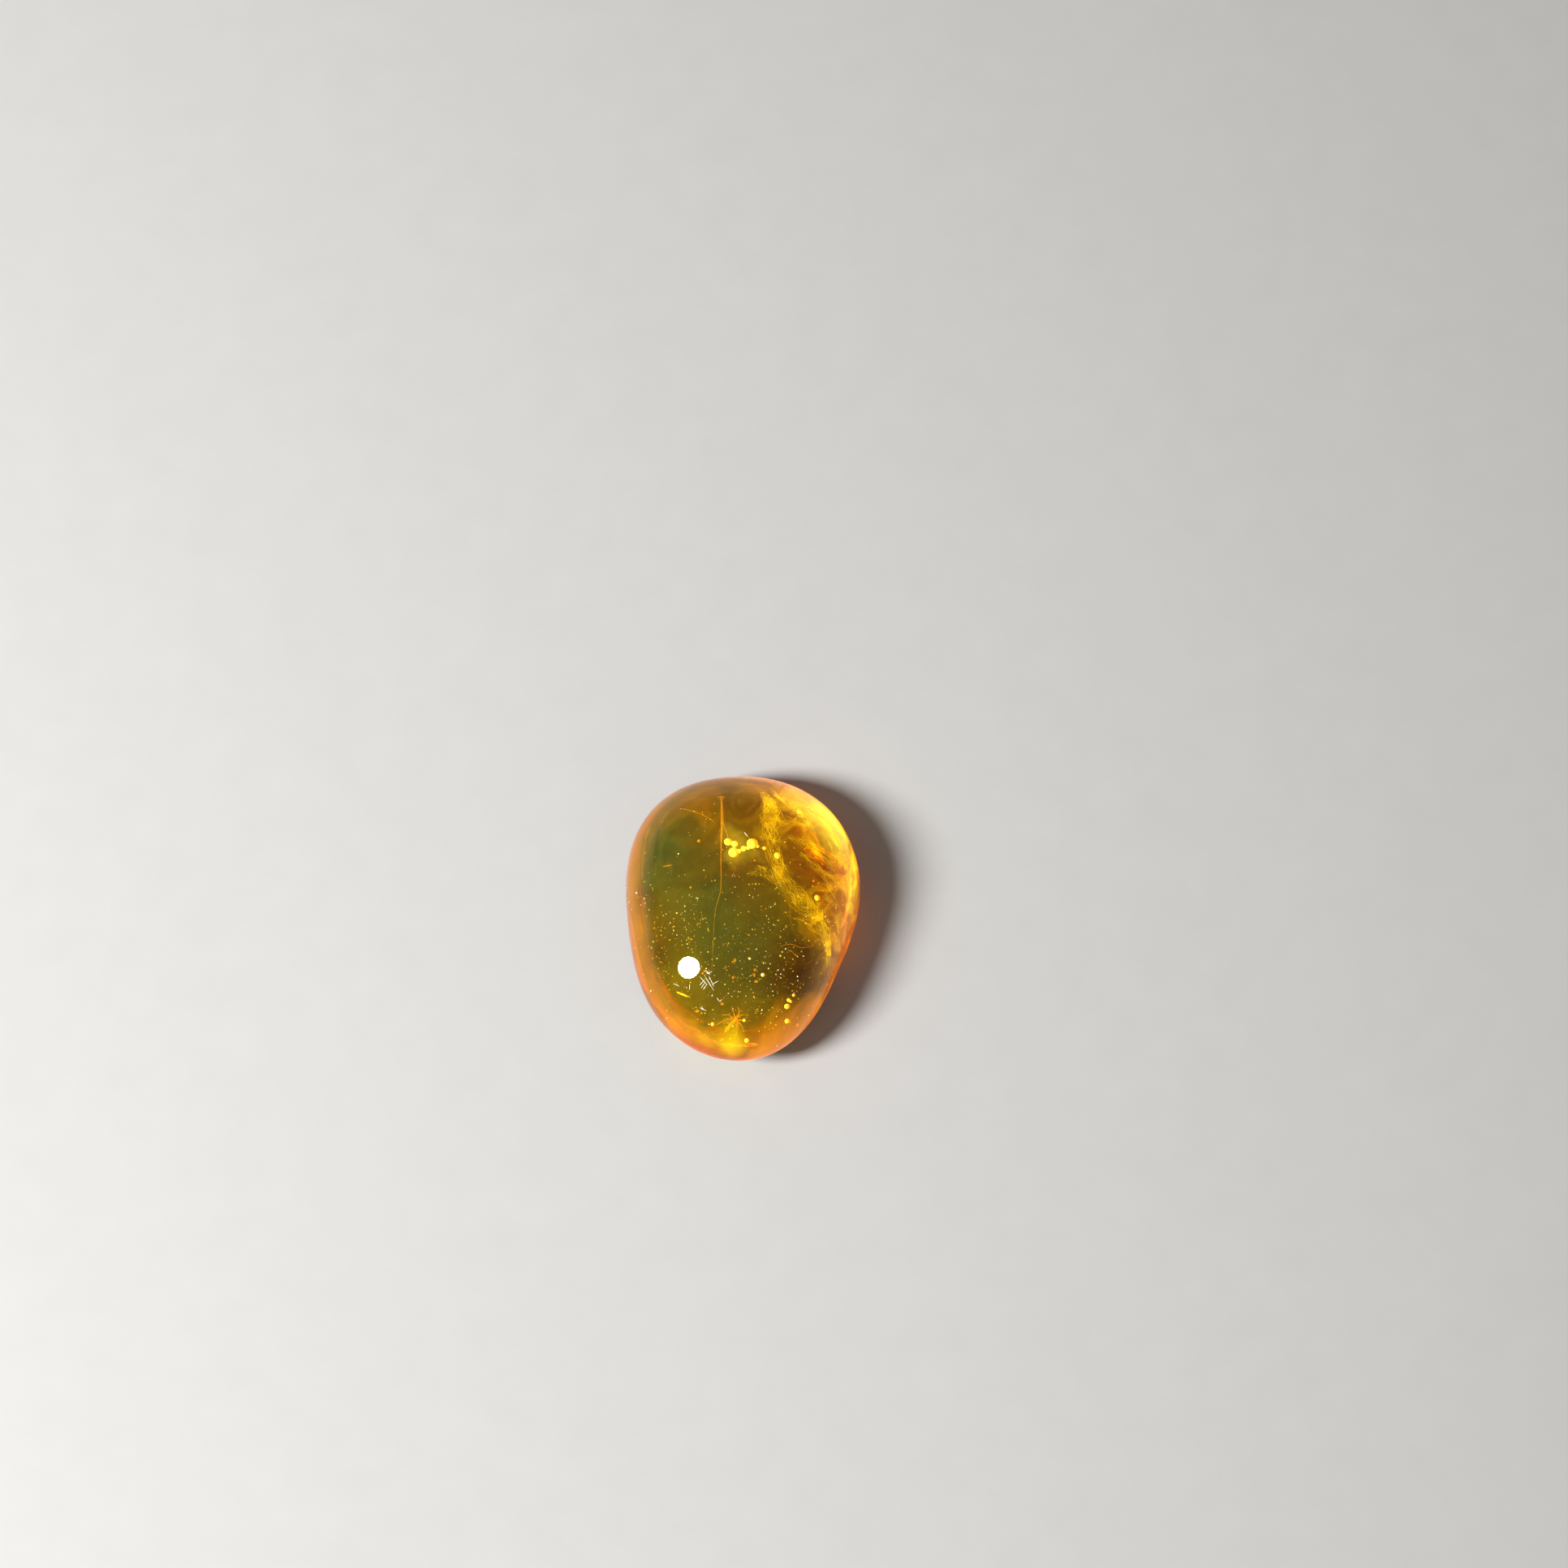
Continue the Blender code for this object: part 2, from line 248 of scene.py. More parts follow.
PEBBLE_WAVES = ((0.001, 0.012), (-0.038, 0.023), (0.011, 0.046), (-0.012, 0.006), (0.006, 0.002))
GIRDLE_HEIGHT = 3.6 * MM
GIRDLE_LIFT = 1.1 * MM
LIFT_AZIMUTH = math.radians(225)
SUMMIT = (-0.1 * MM, -0.3 * MM)
FACET_CENTRE = (0.8 * MM, 1.0 * MM)
FACET_SHARE = 0.3
BASE_POWER = 1.8
POLISH_DEPTH = 0.03 * MM
PEBBLE_COLUMNS = 240
OUTLINE_SAMPLES = 1440
DOME_ROWS, BASE_ROWS, FACET_ROWS = 80, 56, 6

AMBER_IOR = 1.54
AMBER_CLEARNESS = 0.84
AMBER_GLOSS = (1.0, 0.76, 0.36)
AMBER_DEPTH_COLOUR = (0.982, 0.775, 0.02)
AMBER_DEPTH_DENSITY = 270.0
STIR = (0.006, 0.006, 0.002)
WISP_LEVELS = (0.36, 0.66)
FAR_WAY = (0.94, 0.34, 0.0)
FAR_SIDE = (FAR_WAY, 0.0022, 0.0086)
FAR_EDGE = (FAR_WAY, 0.0086, 0.0108)
NEAR_EDGE = ((0.62, -0.78, 0.0), 0.009, 0.0116)
WIDE_END = ((0.0, 1.0, 0.0), 0.001, 0.0085)
HONEY_START = (0.002, 0.012)
RIM_LEVELS = (0.0088, 0.0065)
EDGE_LEVELS = (0.0065, 0.004)
GLOW_LEVELS = (0.0034, 0.0052)
OLIVE = (0.85, 0.68, 0.02)
GREEN = (0.24, 0.44, 0.06)
BROWN = (0.42, 0.17, 0.01)
HONEY = (0.95, 0.58, 0.01)
CLEARER = (1.0, 0.76, 0.08)
# painted light: the brighter gold of the side away from the lamp
PAINTED_GOLD_LIGHT = (1.0, 0.8, 0.01)
RIM = (0.9, 0.64, 0.01)
EDGE = (0.88, 0.36, 0.01)
MURK = (0.84, 0.83, 0.8)
FAR_MURK = (0.45, 0.4, 0.35)
GLOW_MURK = (0.3, 0.24, 0.1)
EDGE_MURK = (0.35, 0.3, 0.3)
GAS_PLACE = (-0.0004, 0.0048, 0.0106)
CLEARER_PLACES = ((GAS_PLACE, 0.0028, 0.75),)
GREEN_PLACES = (
    ((-0.0076, 0.0045, 0.0085), 0.0066, 1.0),
    ((-0.003, -0.001, 0.0108), 0.007, 0.7),
    ((0.0005, -0.005, 0.01), 0.006, 0.6),
)
BROWN_PLACES = (
    ((-0.008, -0.0028, 0.008), 0.0048, 0.5),
    ((-0.0005, 0.003, 0.011), 0.0056, 0.4),
    ((0.0062, 0.003, 0.009), 0.0036, 0.6),
    ((0.0052, -0.0056, 0.009), 0.005, 0.7),
    ((0.0, 0.0092, 0.0095), 0.004, 0.2),
)
# painted shade: darker patches near the left edge and the front corners
PAINTED_SHADE_COLOUR = (0.3, 0.19, 0.02)
PAINTED_SHADE_PLACES = (
    ((0.0056, -0.0074, 0.008), 0.0044, 0.75),
    ((-0.0087, 0.001, 0.008), 0.0026, 0.55),
    ((-0.0074, -0.0052, 0.0082), 0.0028, 0.55),
)
# painted light: the amber's emission glow, faint everywhere and strong at the far side, rims, foot,
# corner and bubbles
GLOW_BODY = (0.04, 0.028, 0.0)
GLOW_WIDE_END = (0.082, 0.062, 0.0)
GLOW_FAR = (0.74, 0.47, 0.0)
GLOW_EDGE = (0.43, 0.72, 0.0)
GLOW_FOOT = (0.7, 0.54, 0.0)
FOOT_PLACES = (
    ((-0.001, -0.0114, 0.0022), 0.0036, 0.5),
    ((-0.0045, -0.0095, 0.0022), 0.0032, 0.6),
    ((-0.0014, -0.0115, 0.0068), 0.0021, 0.9),
    ((-0.004, -0.0106, 0.0068), 0.0018, 0.5),
)
GLOW_CORNER = (0.4, 0.52, 0.04)
CORNER_PLACES = (((0.0068, 0.0092, 0.006), 0.0042, 1.0),)
GLOW_GAS = (0.26, 0.17, 0.0)
GAS_PLACES = ((GAS_PLACE, 0.0022, 1.0),)
GLOW_NEAR_EDGE = (0.46, 0.15, 0.0)


def around(count):
    """Even angles once round, the last one short of the first."""
    return np.linspace(0.0, 2 * np.pi, count, endpoint=False)


def with_ends(first, rows, last):
    """The points of a grid's rows in a list, between one point at each end."""
    return np.concatenate([[first], rows.reshape(-1, 3), [last]])


def closed_faces(rows, columns, count=1):
    """Faces of surfaces whose rows close on themselves and which have one point at each end.

    The points run: the first end, the rows in order, the last end. The pattern is repeated for a
    count of like surfaces whose points follow each other.
    """
    column = np.arange(columns)
    beside = (column + 1) % columns
    start = 1 + np.arange(rows - 1)[:, None] * columns
    corners = (start + column, start + columns + column, start + columns + beside, start + beside)
    quads = np.stack(np.broadcast_arrays(*corners), axis=2).reshape(-1, 4)
    last = 1 + rows * columns
    low = last - columns
    fans = np.concatenate(
        [
            np.stack([np.full(columns, 0), 1 + column, 1 + beside], axis=1),
            np.stack([np.full(columns, last), low + beside, low + column], axis=1),
        ]
    )
    shift = (np.arange(count) * (last + 1))[:, None, None]
    return (quads + shift).reshape(-1, 4).tolist() + (fans + shift).reshape(-1, 3).tolist()


def add_piece(name, parts, material, place=None):
    """A smooth mesh of some (points, faces) pairs, in millimetres, riding on the stone's only body."""
    points, faces, count = [], [], 0
    for part_points, part_faces in parts:
        points.append(part_points.reshape(-1, 3))
        faces.extend([[count + corner for corner in face] for face in part_faces])
        count += len(points[-1])
    data = bpy.data.meshes.new(name)
    data.from_pydata((np.concatenate(points) * MM).tolist(), [], faces)
    data.shade_smooth()
    if place:
        data.transform(place)
    data.materials.append(material)
    piece = add_object(name, data)
    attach(piece, "root")
    return piece


def outline(azimuth):
    """The widest outline: one plus waves, one to five of them round, fitted to the solid's box."""
    width, length, _ = cad_high - cad_low
    full = around(OUTLINE_SAMPLES)

    def reach(turn):
        total = np.ones_like(turn)
        for turns, (cosine, sine) in enumerate(PEBBLE_WAVES, start=1):
            total = total + cosine * np.cos(turns * turn) + sine * np.sin(turns * turn)
        return total

    found = []
    for wave, size in ((np.cos, width), (np.sin, length)):
        whole = reach(full) * wave(full)
        middle = (whole.max() + whole.min()) / 2
        found.append((reach(azimuth) * wave(azimuth) - middle) * size / np.ptp(whole))
    return found


def dome_point(azimuth, rise):
    """The dome over azimuth and rise: a quarter ellipse from the summit down to the lifted girdle."""
    x, y = outline(azimuth)
    share = np.cos(rise)
    girdle = GIRDLE_HEIGHT + GIRDLE_LIFT * np.cos(azimuth - LIFT_AZIMUTH)
    across = x * share + SUMMIT[0] * (1 - share)
    along = y * share + SUMMIT[1] * (1 - share)
    return np.stack([across, along, girdle + (cad_high.z - girdle) * np.sin(rise)], axis=-1)


def base_point(azimuth, share, drop):
    """The base over azimuth and share of the outline, a drop of one being the flat spot's level."""
    x, y = outline(azimuth)
    girdle = GIRDLE_HEIGHT + GIRDLE_LIFT * np.cos(azimuth - LIFT_AZIMUTH)
    across = x * share + FACET_CENTRE[0] * (1 - share)
    along = y * share + FACET_CENTRE[1] * (1 - share)
    return np.stack([across, along, girdle * (1 - drop)], axis=-1)


def pebble_points():
    """The pebble over azimuth and row, in millimetres.

    Dome rows fall from the summit to the girdle. Base rows follow a quarter superellipse to the
    flat spot. A slow sum of sines pulls the surface in by up to the polish depth.
    """
    azimuth = around(PEBBLE_COLUMNS)[None, :]
    rise = np.linspace(np.pi / 2, 0.0, DOME_ROWS + 1)[1:, None]
    dome = dome_point(*np.broadcast_arrays(azimuth, rise))
    fall = np.linspace(0.0, np.pi / 2, BASE_ROWS + 1)[1:, None]
    inward = FACET_SHARE + (1 - FACET_SHARE) * np.clip(np.cos(fall), 0, 1) ** (2 / BASE_POWER)
    spot = np.linspace(FACET_SHARE, 0.0, FACET_ROWS + 1)[1:-1, None]
    share = np.concatenate([inward, spot])
    drop = np.concatenate([np.sin(fall) ** (2 / BASE_POWER), np.ones_like(spot)])
    base = base_point(*np.broadcast_arrays(azimuth, share, drop))
    points = with_ends((*SUMMIT, cad_high.z), np.concatenate([dome, base]), (*FACET_CENTRE, 0.0))

    middle = np.array([0.0, 0.0, GIRDLE_HEIGHT])
    x, y, z = ((points - middle) / (0.5 * np.array(cad_high - cad_low))).T
    sway = (
        np.sin(3.1 * x + 1.7 * y)
        + np.sin(4.3 * y - 2.2 * z + 1.0)
        + np.sin(5.2 * x - 3.4 * y + 2.3)
        + np.sin(2.6 * z + 2.9 * x + 4.0)
    )
    pulled = POLISH_DEPTH * (4 + sway) / 8 * np.clip(points[:, 2] / GIRDLE_HEIGHT, 0, 1)
    reach = np.linalg.norm(points - middle, axis=1)
    return (middle + (points - middle) * (1 - pulled / reach)[:, None]) / MM


def amber_material():
    """Clear amber: absorption gives its depth, and a faint cloudiness its olive and honey zones.

    Painted light: a brighter gold on the side away from the lamp, and an emission glow there,
    at the rims, at the foot and round the bubbles, stand for lamp light that the dome gathers.
    Painted shade darkens a few patches near the edge.
    """
    amber, tree, shader, still = new_material(
        "clear_amber", 0.02, IOR=AMBER_IOR, Transmission_Weight=AMBER_CLEARNESS, Specular_Tint=AMBER_GLOSS
    )
    depth = node(tree, "VolumeAbsorption", Density=AMBER_DEPTH_DENSITY, Color=AMBER_DEPTH_COLOUR)
    fit(tree, tree.nodes["Material Output"], Volume=depth.outputs["Volume"])
    flow = node(tree, "TexNoise", Vector=still, Scale=150.0, Detail=4.0, Distortion=1.2)
    stirred = reckon(tree, "VectorMath", "MULTIPLY_ADD", flow.outputs["Color"], STIR, still)
    place = reckon(tree, "VectorMath", "SUBTRACT", stirred, tuple(value / 2 for value in STIR))
    split = node(tree, "SeparateXYZ", Vector=place).outputs
    cloud = node(tree, "TexNoise", Vector=place, Scale=300.0, Detail=6.0, Roughness=0.6, Distortion=1.2)
    wisps = step(tree, cloud.outputs["Fac"], *WISP_LEVELS)

    def patches(colour, tone, places, way="MIX"):
        """A colour changed to a tone round some places, each with its reach and strength."""
        for centre, reach, strength in places:
            gap = reckon(tree, "VectorMath", "DISTANCE", place, centre)
            colour = blend(tree, step(tree, gap, reach, 0.0, strength), colour, tone, way)
        return colour

    def beyond(way, start, end):
        """One past the end of a stretch measured along a direction, nothing before its start."""
        return step(tree, reckon(tree, "VectorMath", "DOT_PRODUCT", place, way), start, end)

    def dimmed(colour, murk):
        """A colour dimmed by a murk wherever there are no wisps."""
        return blend(tree, 1.0, colour, blend(tree, wisps, murk, (1.0, 1.0, 1.0)), "MULTIPLY")

    far_side = beyond(*FAR_SIDE)
    colour = blend(tree, step(tree, split["Y"], *HONEY_START), OLIVE, HONEY)
    colour = patches(colour, GREEN, GREEN_PLACES)
    # Painted light: the side away from the lamp turns a brighter gold.
    colour = blend(tree, far_side, colour, PAINTED_GOLD_LIGHT)
    colour = patches(colour, BROWN, BROWN_PLACES)
    colour = patches(colour, CLEARER, CLEARER_PLACES)
    colour = dimmed(colour, blend(tree, far_side, MURK, FAR_MURK))
    colour = blend(tree, step(tree, split["Z"], *RIM_LEVELS), colour, RIM)
    colour = blend(tree, step(tree, split["Z"], *EDGE_LEVELS), colour, EDGE)
    # Painted shade: a few patches near the edge turn dark.
    colour = patches(colour, PAINTED_SHADE_COLOUR, PAINTED_SHADE_PLACES)

    # Painted light: an emission glow that stands for lamp light gathered by the dome.
    glow = blend(tree, beyond(*WIDE_END), GLOW_BODY, GLOW_WIDE_END)
    glow = dimmed(blend(tree, far_side, glow, GLOW_FAR), GLOW_MURK)
    glow = blend(tree, 1.0, glow, colour, "MULTIPLY")
    far_edge = blend(tree, step(tree, split["Z"], *GLOW_LEVELS), (0.0, 0.0, 0.0), GLOW_EDGE)
    glow = blend(tree, beyond(*FAR_EDGE), glow, dimmed(far_edge, EDGE_MURK), "ADD")
    glow = patches(glow, GLOW_FOOT, FOOT_PLACES, "ADD")
    glow = patches(glow, GLOW_CORNER, CORNER_PLACES, "ADD")
    glow = patches(glow, GLOW_GAS, GAS_PLACES, "ADD")
    glow = blend(tree, beyond(*NEAR_EDGE), glow, GLOW_NEAR_EDGE, "ADD")

    polish = node(tree, "TexNoise", Vector=still, Scale=900.0, Detail=2.0)
    relief = node(tree, "Bump", Strength=0.04, Distance=0.00005, Height=polish.outputs["Fac"])
    fit(tree, shader, Base_Color=colour, Emission_Color=glow, Emission_Strength=1.0)
    fit(tree, shader, Normal=relief.outputs["Normal"])
    return amber


pebble_rows = DOME_ROWS + BASE_ROWS + FACET_ROWS - 1
pebble_mesh = (pebble_points(), closed_faces(pebble_rows, PEBBLE_COLUMNS))
pebble = add_piece("amber_pebble", [pebble_mesh], amber_material())
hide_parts("amber_top", "amber_base")

# ------------ The midge
# A gnat-like fly caught whole in the resin near the narrow end, lying a little on its side. Its
# dark red-brown skin, bristles, feathered feelers and net-thin wings have kept their shape.

MIDGE_PLACE = (
    Matrix.Translation((-0.8 * MM, -9.3 * MM, 5.0 * MM))
    @ Matrix.Rotation(math.radians(-38), 4, "Z")
    @ Matrix.Rotation(math.radians(12), 4, "Y")
)
THORAX = ((0.0, 0.3, 0.02), (0.23, 0.3, 0.26))
HEAD = ((0.0, 0.66, -0.06), (0.15, 0.13, 0.15))
EYE = ((0.085, 0.675, -0.05), (0.075, 0.085, 0.11))
ABDOMEN = ((0, 0.2, -0.02), (0, -0.15, -0.03), (0, -0.5, -0.06), (0, -0.85, -0.12), (0, -1.02, -0.15))
ABDOMEN_RADII = (0.15, 0.18, 0.155, 0.1, 0.035)
ABDOMEN_SWELL = (0.97, 0.07, 8, 1.0)
ABDOMEN_BRISTLES = (60, 0.07, 0.003)
BACK = ((0, 0.5, 0.2), (0, 0.3, 0.27), (0, 0.1, 0.2))
BACK_BRISTLES = (40, 0.08, 0.003)
SNOUT = ((0, 0.72, -0.14), (0, 0.76, -0.22), (0, 0.75, -0.29))
SNOUT_RADII = (0.035, 0.03, 0.02)
LEGS = (
    ((0.1, 0.42, -0.16), (0.48, 0.66, -0.02), (0.72, 0.92, -0.34), (0.86, 1.06, -0.4)),
    ((0.12, 0.3, -0.18), (0.6, 0.26, 0.04), (0.9, 0.12, -0.36), (1.06, 0.04, -0.42)),
    ((0.11, 0.18, -0.18), (0.56, -0.22, 0.08), (0.78, -0.66, -0.3), (0.86, -0.92, -0.38)),
)
LEG_RADII = (0.04, 0.026, 0.018, 0.012)
LEG_SWELL = (0.85, 0.35, 3, 0.5)
LEG_BRISTLES = (34, 0.07, 0.0035)
FEELER = ((0.06, 0.76, 0.02), (0.18, 0.94, 0.12), (0.34, 1.08, 0.12), (0.48, 1.16, 0.06))
FEELER_RADII = (0.026, 0.018, 0.014, 0.008)
FEELER_SWELL = (0.75, 0.5, 11, 1.0)
FEELER_BRISTLES = (90, 0.12, 0.003)
HALTERE = ((0.17, 0.16, 0.02), (0.26, 0.1, 0.04), (0.32, 0.06, 0.05))
HALTERE_RADII = (0.01, 0.008, 0.026)
WING_ROOT = (0.13, 0.34, 0.22)
WING_REACH = (0.2, 1.18)
WING_SWEEP = math.radians(22)
WING_RISE = math.radians(10)
VEIN_SPREADS = (0.98, 0.7, 0.42, 0.12, -0.2, -0.55, -0.97)
MIDGE_SEED = 11

CHITIN_DARK = (0.3, 0.07, 0.004)
CHITIN_RED = (1.0, 0.4, 0.03)
TOWARDS_LAMP = (-0.64, -0.23, 0.73)
UNLIT_SHARE = (0.05, 0.03, 0.02)
LIT_SHARE = (1.9, 1.9, 1.9)
LIT_TURN = (-0.3, 1.0)
FINE_RELIEF = 0.00001


def unit(vectors):
    """Vectors with a length of one."""
    return vectors / np.linalg.norm(vectors, axis=-1, keepdims=True)


def curve_through(points, steps):
    """Places along the Catmull-Rom curve through some points, as an array of steps by values."""
    points = np.asarray(points, dtype=float)
    ends = np.concatenate([points[:1], points, points[-1:]])
    where = np.linspace(0.0, len(points) - 1, steps)
    span = np.clip(where.astype(int), 0, len(points) - 2)
    t = (where - span)[:, None]
    a, b, c, d = (ends[span + shift] for shift in range(4))
    bend = 2 * a - 5 * b + 4 * c - d
    twist = 3 * b - a - 3 * c + d
    return 0.5 * (2 * b + (c - a) * t + bend * t**2 + twist * t**3)


def thick_curve(points, radii, steps):
    """Places and radii along the curve through some points with a radius at each."""
    return curve_through([(*point, radius) for point, radius in zip(points, radii)], steps)


def tubes(centres, radii, sides):
    """Closed tubes over path step and angle, for many centre lines at once.

    Each point stands at the radius from its centre line, in the plane across it. Centres are tube
    by step by place and radii are tube by step.
    """
    along = unit(np.gradient(centres, axis=1))
    upright = np.abs(along[:, :, 2].mean(axis=1)) > 0.75
    guide = np.where(upright[:, None, None], (1.0, 0.0, 0.0), (0.0, 0.0, 1.0))
    side = unit(np.cross(along, guide))
    lift = np.cross(side, along)
    angle = around(sides)[:, None]
    ring = side[:, :, None] * np.cos(angle) + lift[:, :, None] * np.sin(angle)
    points = centres[:, :, None] + ring * radii[:, :, None, None]
    count, steps = radii.shape
    points = points.reshape(count, steps * sides, 3)
    points = np.concatenate([centres[:, :1], points, centres[:, -1:]], axis=1)
    return points, closed_faces(steps, sides, count)


def tube(points, radii, steps, sides, swell=(1.0, 0.0, 1, 1.0)):
    """One tube through a few points with a radius at each, which may swell along its length.

    Its radius is multiplied by a base plus a height times a power of the size of a wave.
    """
    line = thick_curve(points, radii, steps)
    base, height, waves, power = swell
    waist = base + height * np.abs(np.sin(waves * np.pi * np.linspace(0.0, 1.0, steps))) ** power
    return tubes(line[None, :, :3], (line[:, 3] * waist)[None], sides)


def ball(centre, size, rows=14, columns=20, lumps=0.0, phase=0.0):
    """An ellipsoid over latitude and azimuth, its reach changed by a product of waves."""
    latitude = np.linspace(np.pi / 2, -np.pi / 2, rows + 2)[1:-1, None]
    azimuth = around(columns)[None, :]
    reach = 1 + lumps * np.sin(3 * azimuth + phase) * np.cos(4 * latitude + phase)
    x = np.cos(latitude) * np.cos(azimuth) * reach
    y = np.cos(latitude) * np.sin(azimuth) * reach
    z = np.sin(latitude) * reach
    points = np.stack(np.broadcast_arrays(x, y, z), axis=2)
    return with_ends((0, 0, 1), points, (0, 0, -1)) * size + centre, closed_faces(rows, columns)


def mirrored(points, side):
    """Some places on the right side, or their mirror images on the left."""
    return np.asarray(points, dtype=float) * (side, 1.0, 1.0)


def midge_body():
    """The midge without its wings: every tube and ball of it, in its own frame."""
    parts = [
        ball(*THORAX, rows=20, columns=28, lumps=0.035),
        ball((0.0, 0.12, 0.15), (0.13, 0.12, 0.08)),
        ball(*HEAD, rows=16, columns=20, lumps=0.03, phase=1.0),
        tube(SNOUT, SNOUT_RADII, 10, 8),
        tube(ABDOMEN, ABDOMEN_RADII, 66, 24, ABDOMEN_SWELL),
    ]
    rng = np.random.default_rng(MIDGE_SEED)
    for side in (1, -1):
        parts.append(ball(mirrored(EYE[0], side), EYE[1], rows=16, columns=22))
        for leg in LEGS:
            joints = np.asarray(leg) + rng.normal(0.0, 0.015, (4, 3))
            joints[0] = leg[0]
            parts.append(tube(mirrored(joints, side), LEG_RADII, 48, 8, LEG_SWELL))
            line = curve_through(mirrored(joints, side), 40)[6:]
            parts.append(bristles(line, rng, *LEG_BRISTLES))
        parts.append(tube(mirrored(FEELER, side), FEELER_RADII, 60, 8, FEELER_SWELL))
        parts.append(bristles(curve_through(mirrored(FEELER, side), 44), rng, *FEELER_BRISTLES))
        parts.append(tube(mirrored(HALTERE, side), HALTERE_RADII, 14, 8))
    parts.append(bristles(curve_through(ABDOMEN, 40) + (0, 0, 0.12), rng, *ABDOMEN_BRISTLES))
    parts.append(bristles(curve_through(BACK, 20), rng, *BACK_BRISTLES))
    return parts


def bristles(line, rng, count, length, radius):
    """Fine tapering hairs that stand off a line in every direction, bent a little towards its end."""
    root = line[rng.integers(0, len(line) - 1, count)]
    lean = unit(rng.normal(0.0, 1.0, (count, 3)))
    trail = unit(line[-1] - line[0])
    t = np.linspace(0.0, 1.0, 5)[None, :, None]
    reach = length * rng.uniform(0.6, 1.0, (count, 1, 1))
    centres = root[:, None] + reach * (lean[:, None] * t + 0.5 * trail * t**2)
    radii = radius * np.repeat(1 - 0.85 * t[..., 0], count, axis=0)
    return tubes(centres, radii, 4)


def wing_point(u, v):
    """A place on a wing: u goes from root to tip and v from the hind edge to the front one.

    The half width follows a power of u times a power of its rest, and the blade is arched.
    """
    half = WING_REACH[0] * 1.9 * u**0.55 * (1 - u) ** 0.38
    x = half * v * 1.05 + 0.05 * np.sin(np.pi * u)
    z = 0.02 * np.cos(0.5 * np.pi * v) * np.sin(np.pi * u) + 0.006 * np.sin(9 * v) * u
    return np.stack(np.broadcast_arrays(x, -WING_REACH[1] * u, z), axis=-1)


def wing_place(points, side):
    """Wing places moved to the wing's root on one side and swept and raised."""
    turn = Matrix.Rotation(side * WING_SWEEP, 3, "Z") @ Matrix.Rotation(-WING_RISE, 3, "X")
    return mirrored(points, side) @ np.array(turn).T + mirrored(WING_ROOT, side)


def wing_blade(side):
    """The blade over u and v, as a thin closed sheet whose upper and lower skins share their rim."""
    rows, half = 40, 15
    u = (np.linspace(0.0, 1.0, rows + 2)[1:-1, None]) ** 1.2
    edge = np.concatenate([np.linspace(1, -1, half + 1)[:-1], np.linspace(-1, 1, half + 1)[:-1]])
    skin = np.concatenate([np.full(half, 1.0), np.full(half, -1.0)]) * (1 - edge**2)
    points = wing_point(u, edge[None, :])
    points[..., 2] += 0.004 * skin
    root, tip = wing_point(np.array([0.0, 1.0]), np.array([0.0, 0.0]))
    faces = closed_faces(rows, 2 * half)
    if side < 0:
        faces = [face[::-1] for face in faces]
    return wing_place(with_ends(root, points, tip), side), faces


def wing_veins(side):
    """Veins along the wing: each follows a line from the root that spreads towards the rim."""
    u = np.linspace(0.01, 0.97, 24)
    lines = []
    for spread in VEIN_SPREADS:
        fan = 0.35 + 0.65 * u if abs(spread) < 0.9 else np.ones_like(u)
        lines.append(wing_point(u, spread * fan))
    centres = wing_place(np.stack(lines), side)
    radii = np.repeat(0.011 * (1 - 0.6 * u)[None], len(lines), axis=0)
    return tubes(centres, radii, 5)


def lamp_side(tree):
    """How far the surface turns to the lamp: one straight at it, below nothing away from it."""
    normal = node(tree, "TexCoord").outputs["Normal"]
    return reckon(tree, "VectorMath", "DOT_PRODUCT", normal, TOWARDS_LAMP)


def mottle_group():
    """A shared effect: a colour that wavers between two, the wavering as a height, and a lit colour.

    The lit colour stands for the light that reaches a thing inside the resin: the side turned to
    the lamp is brighter than the other.
    """
    group = bpy.data.node_groups.new("mottle", "ShaderNodeTree")
    for way, sockets in (
        ("INPUT", (("First", "Color"), ("Second", "Color"), ("Place", "Vector"), ("Scale", "Float"))),
        ("OUTPUT", (("Colour", "Color"), ("Height", "Float"), ("Lit", "Color"))),
    ):
        for name, kind in sockets:
            group.interface.new_socket(name, in_out=way, socket_type="NodeSocket" + kind)
    given = group.nodes.new("NodeGroupInput").outputs
    noise = node(group, "TexNoise", Vector=given["Place"], Scale=given["Scale"])
    height = fit(group, noise, Detail=4.0, Roughness=0.6).outputs["Fac"]
    colour = blend(group, step(group, height, 0.35, 0.65), given["First"], given["Second"])
    light = blend(group, step(group, lamp_side(group), *LIT_TURN), UNLIT_SHARE, LIT_SHARE)
    lit = blend(group, 1.0, colour, light, "MULTIPLY")
    fit(group, group.nodes.new("NodeGroupOutput"), Colour=colour, Height=height, Lit=lit)
    return group


MOTTLE = mottle_group()


def mottled_material(name, first, second, scale, roughness, glow, relief=FINE_RELIEF, **plain):
    """A material whose colour wavers between two and which glows in it, brighter towards the lamp:
    painted light.
    """
    material, tree, shader, place = new_material(name, roughness, Emission_Strength=glow, **plain)
    mottle = node(tree, "Group", node_tree=MOTTLE, First=first, Second=second, Place=place, Scale=scale)
    bump = node(tree, "Bump", Strength=0.5, Distance=relief, Height=mottle.outputs["Height"])
    fit(tree, shader, Base_Color=mottle.outputs["Colour"], Emission_Color=mottle.outputs["Lit"])
    fit(tree, shader, Normal=bump.outputs["Normal"])
    return material


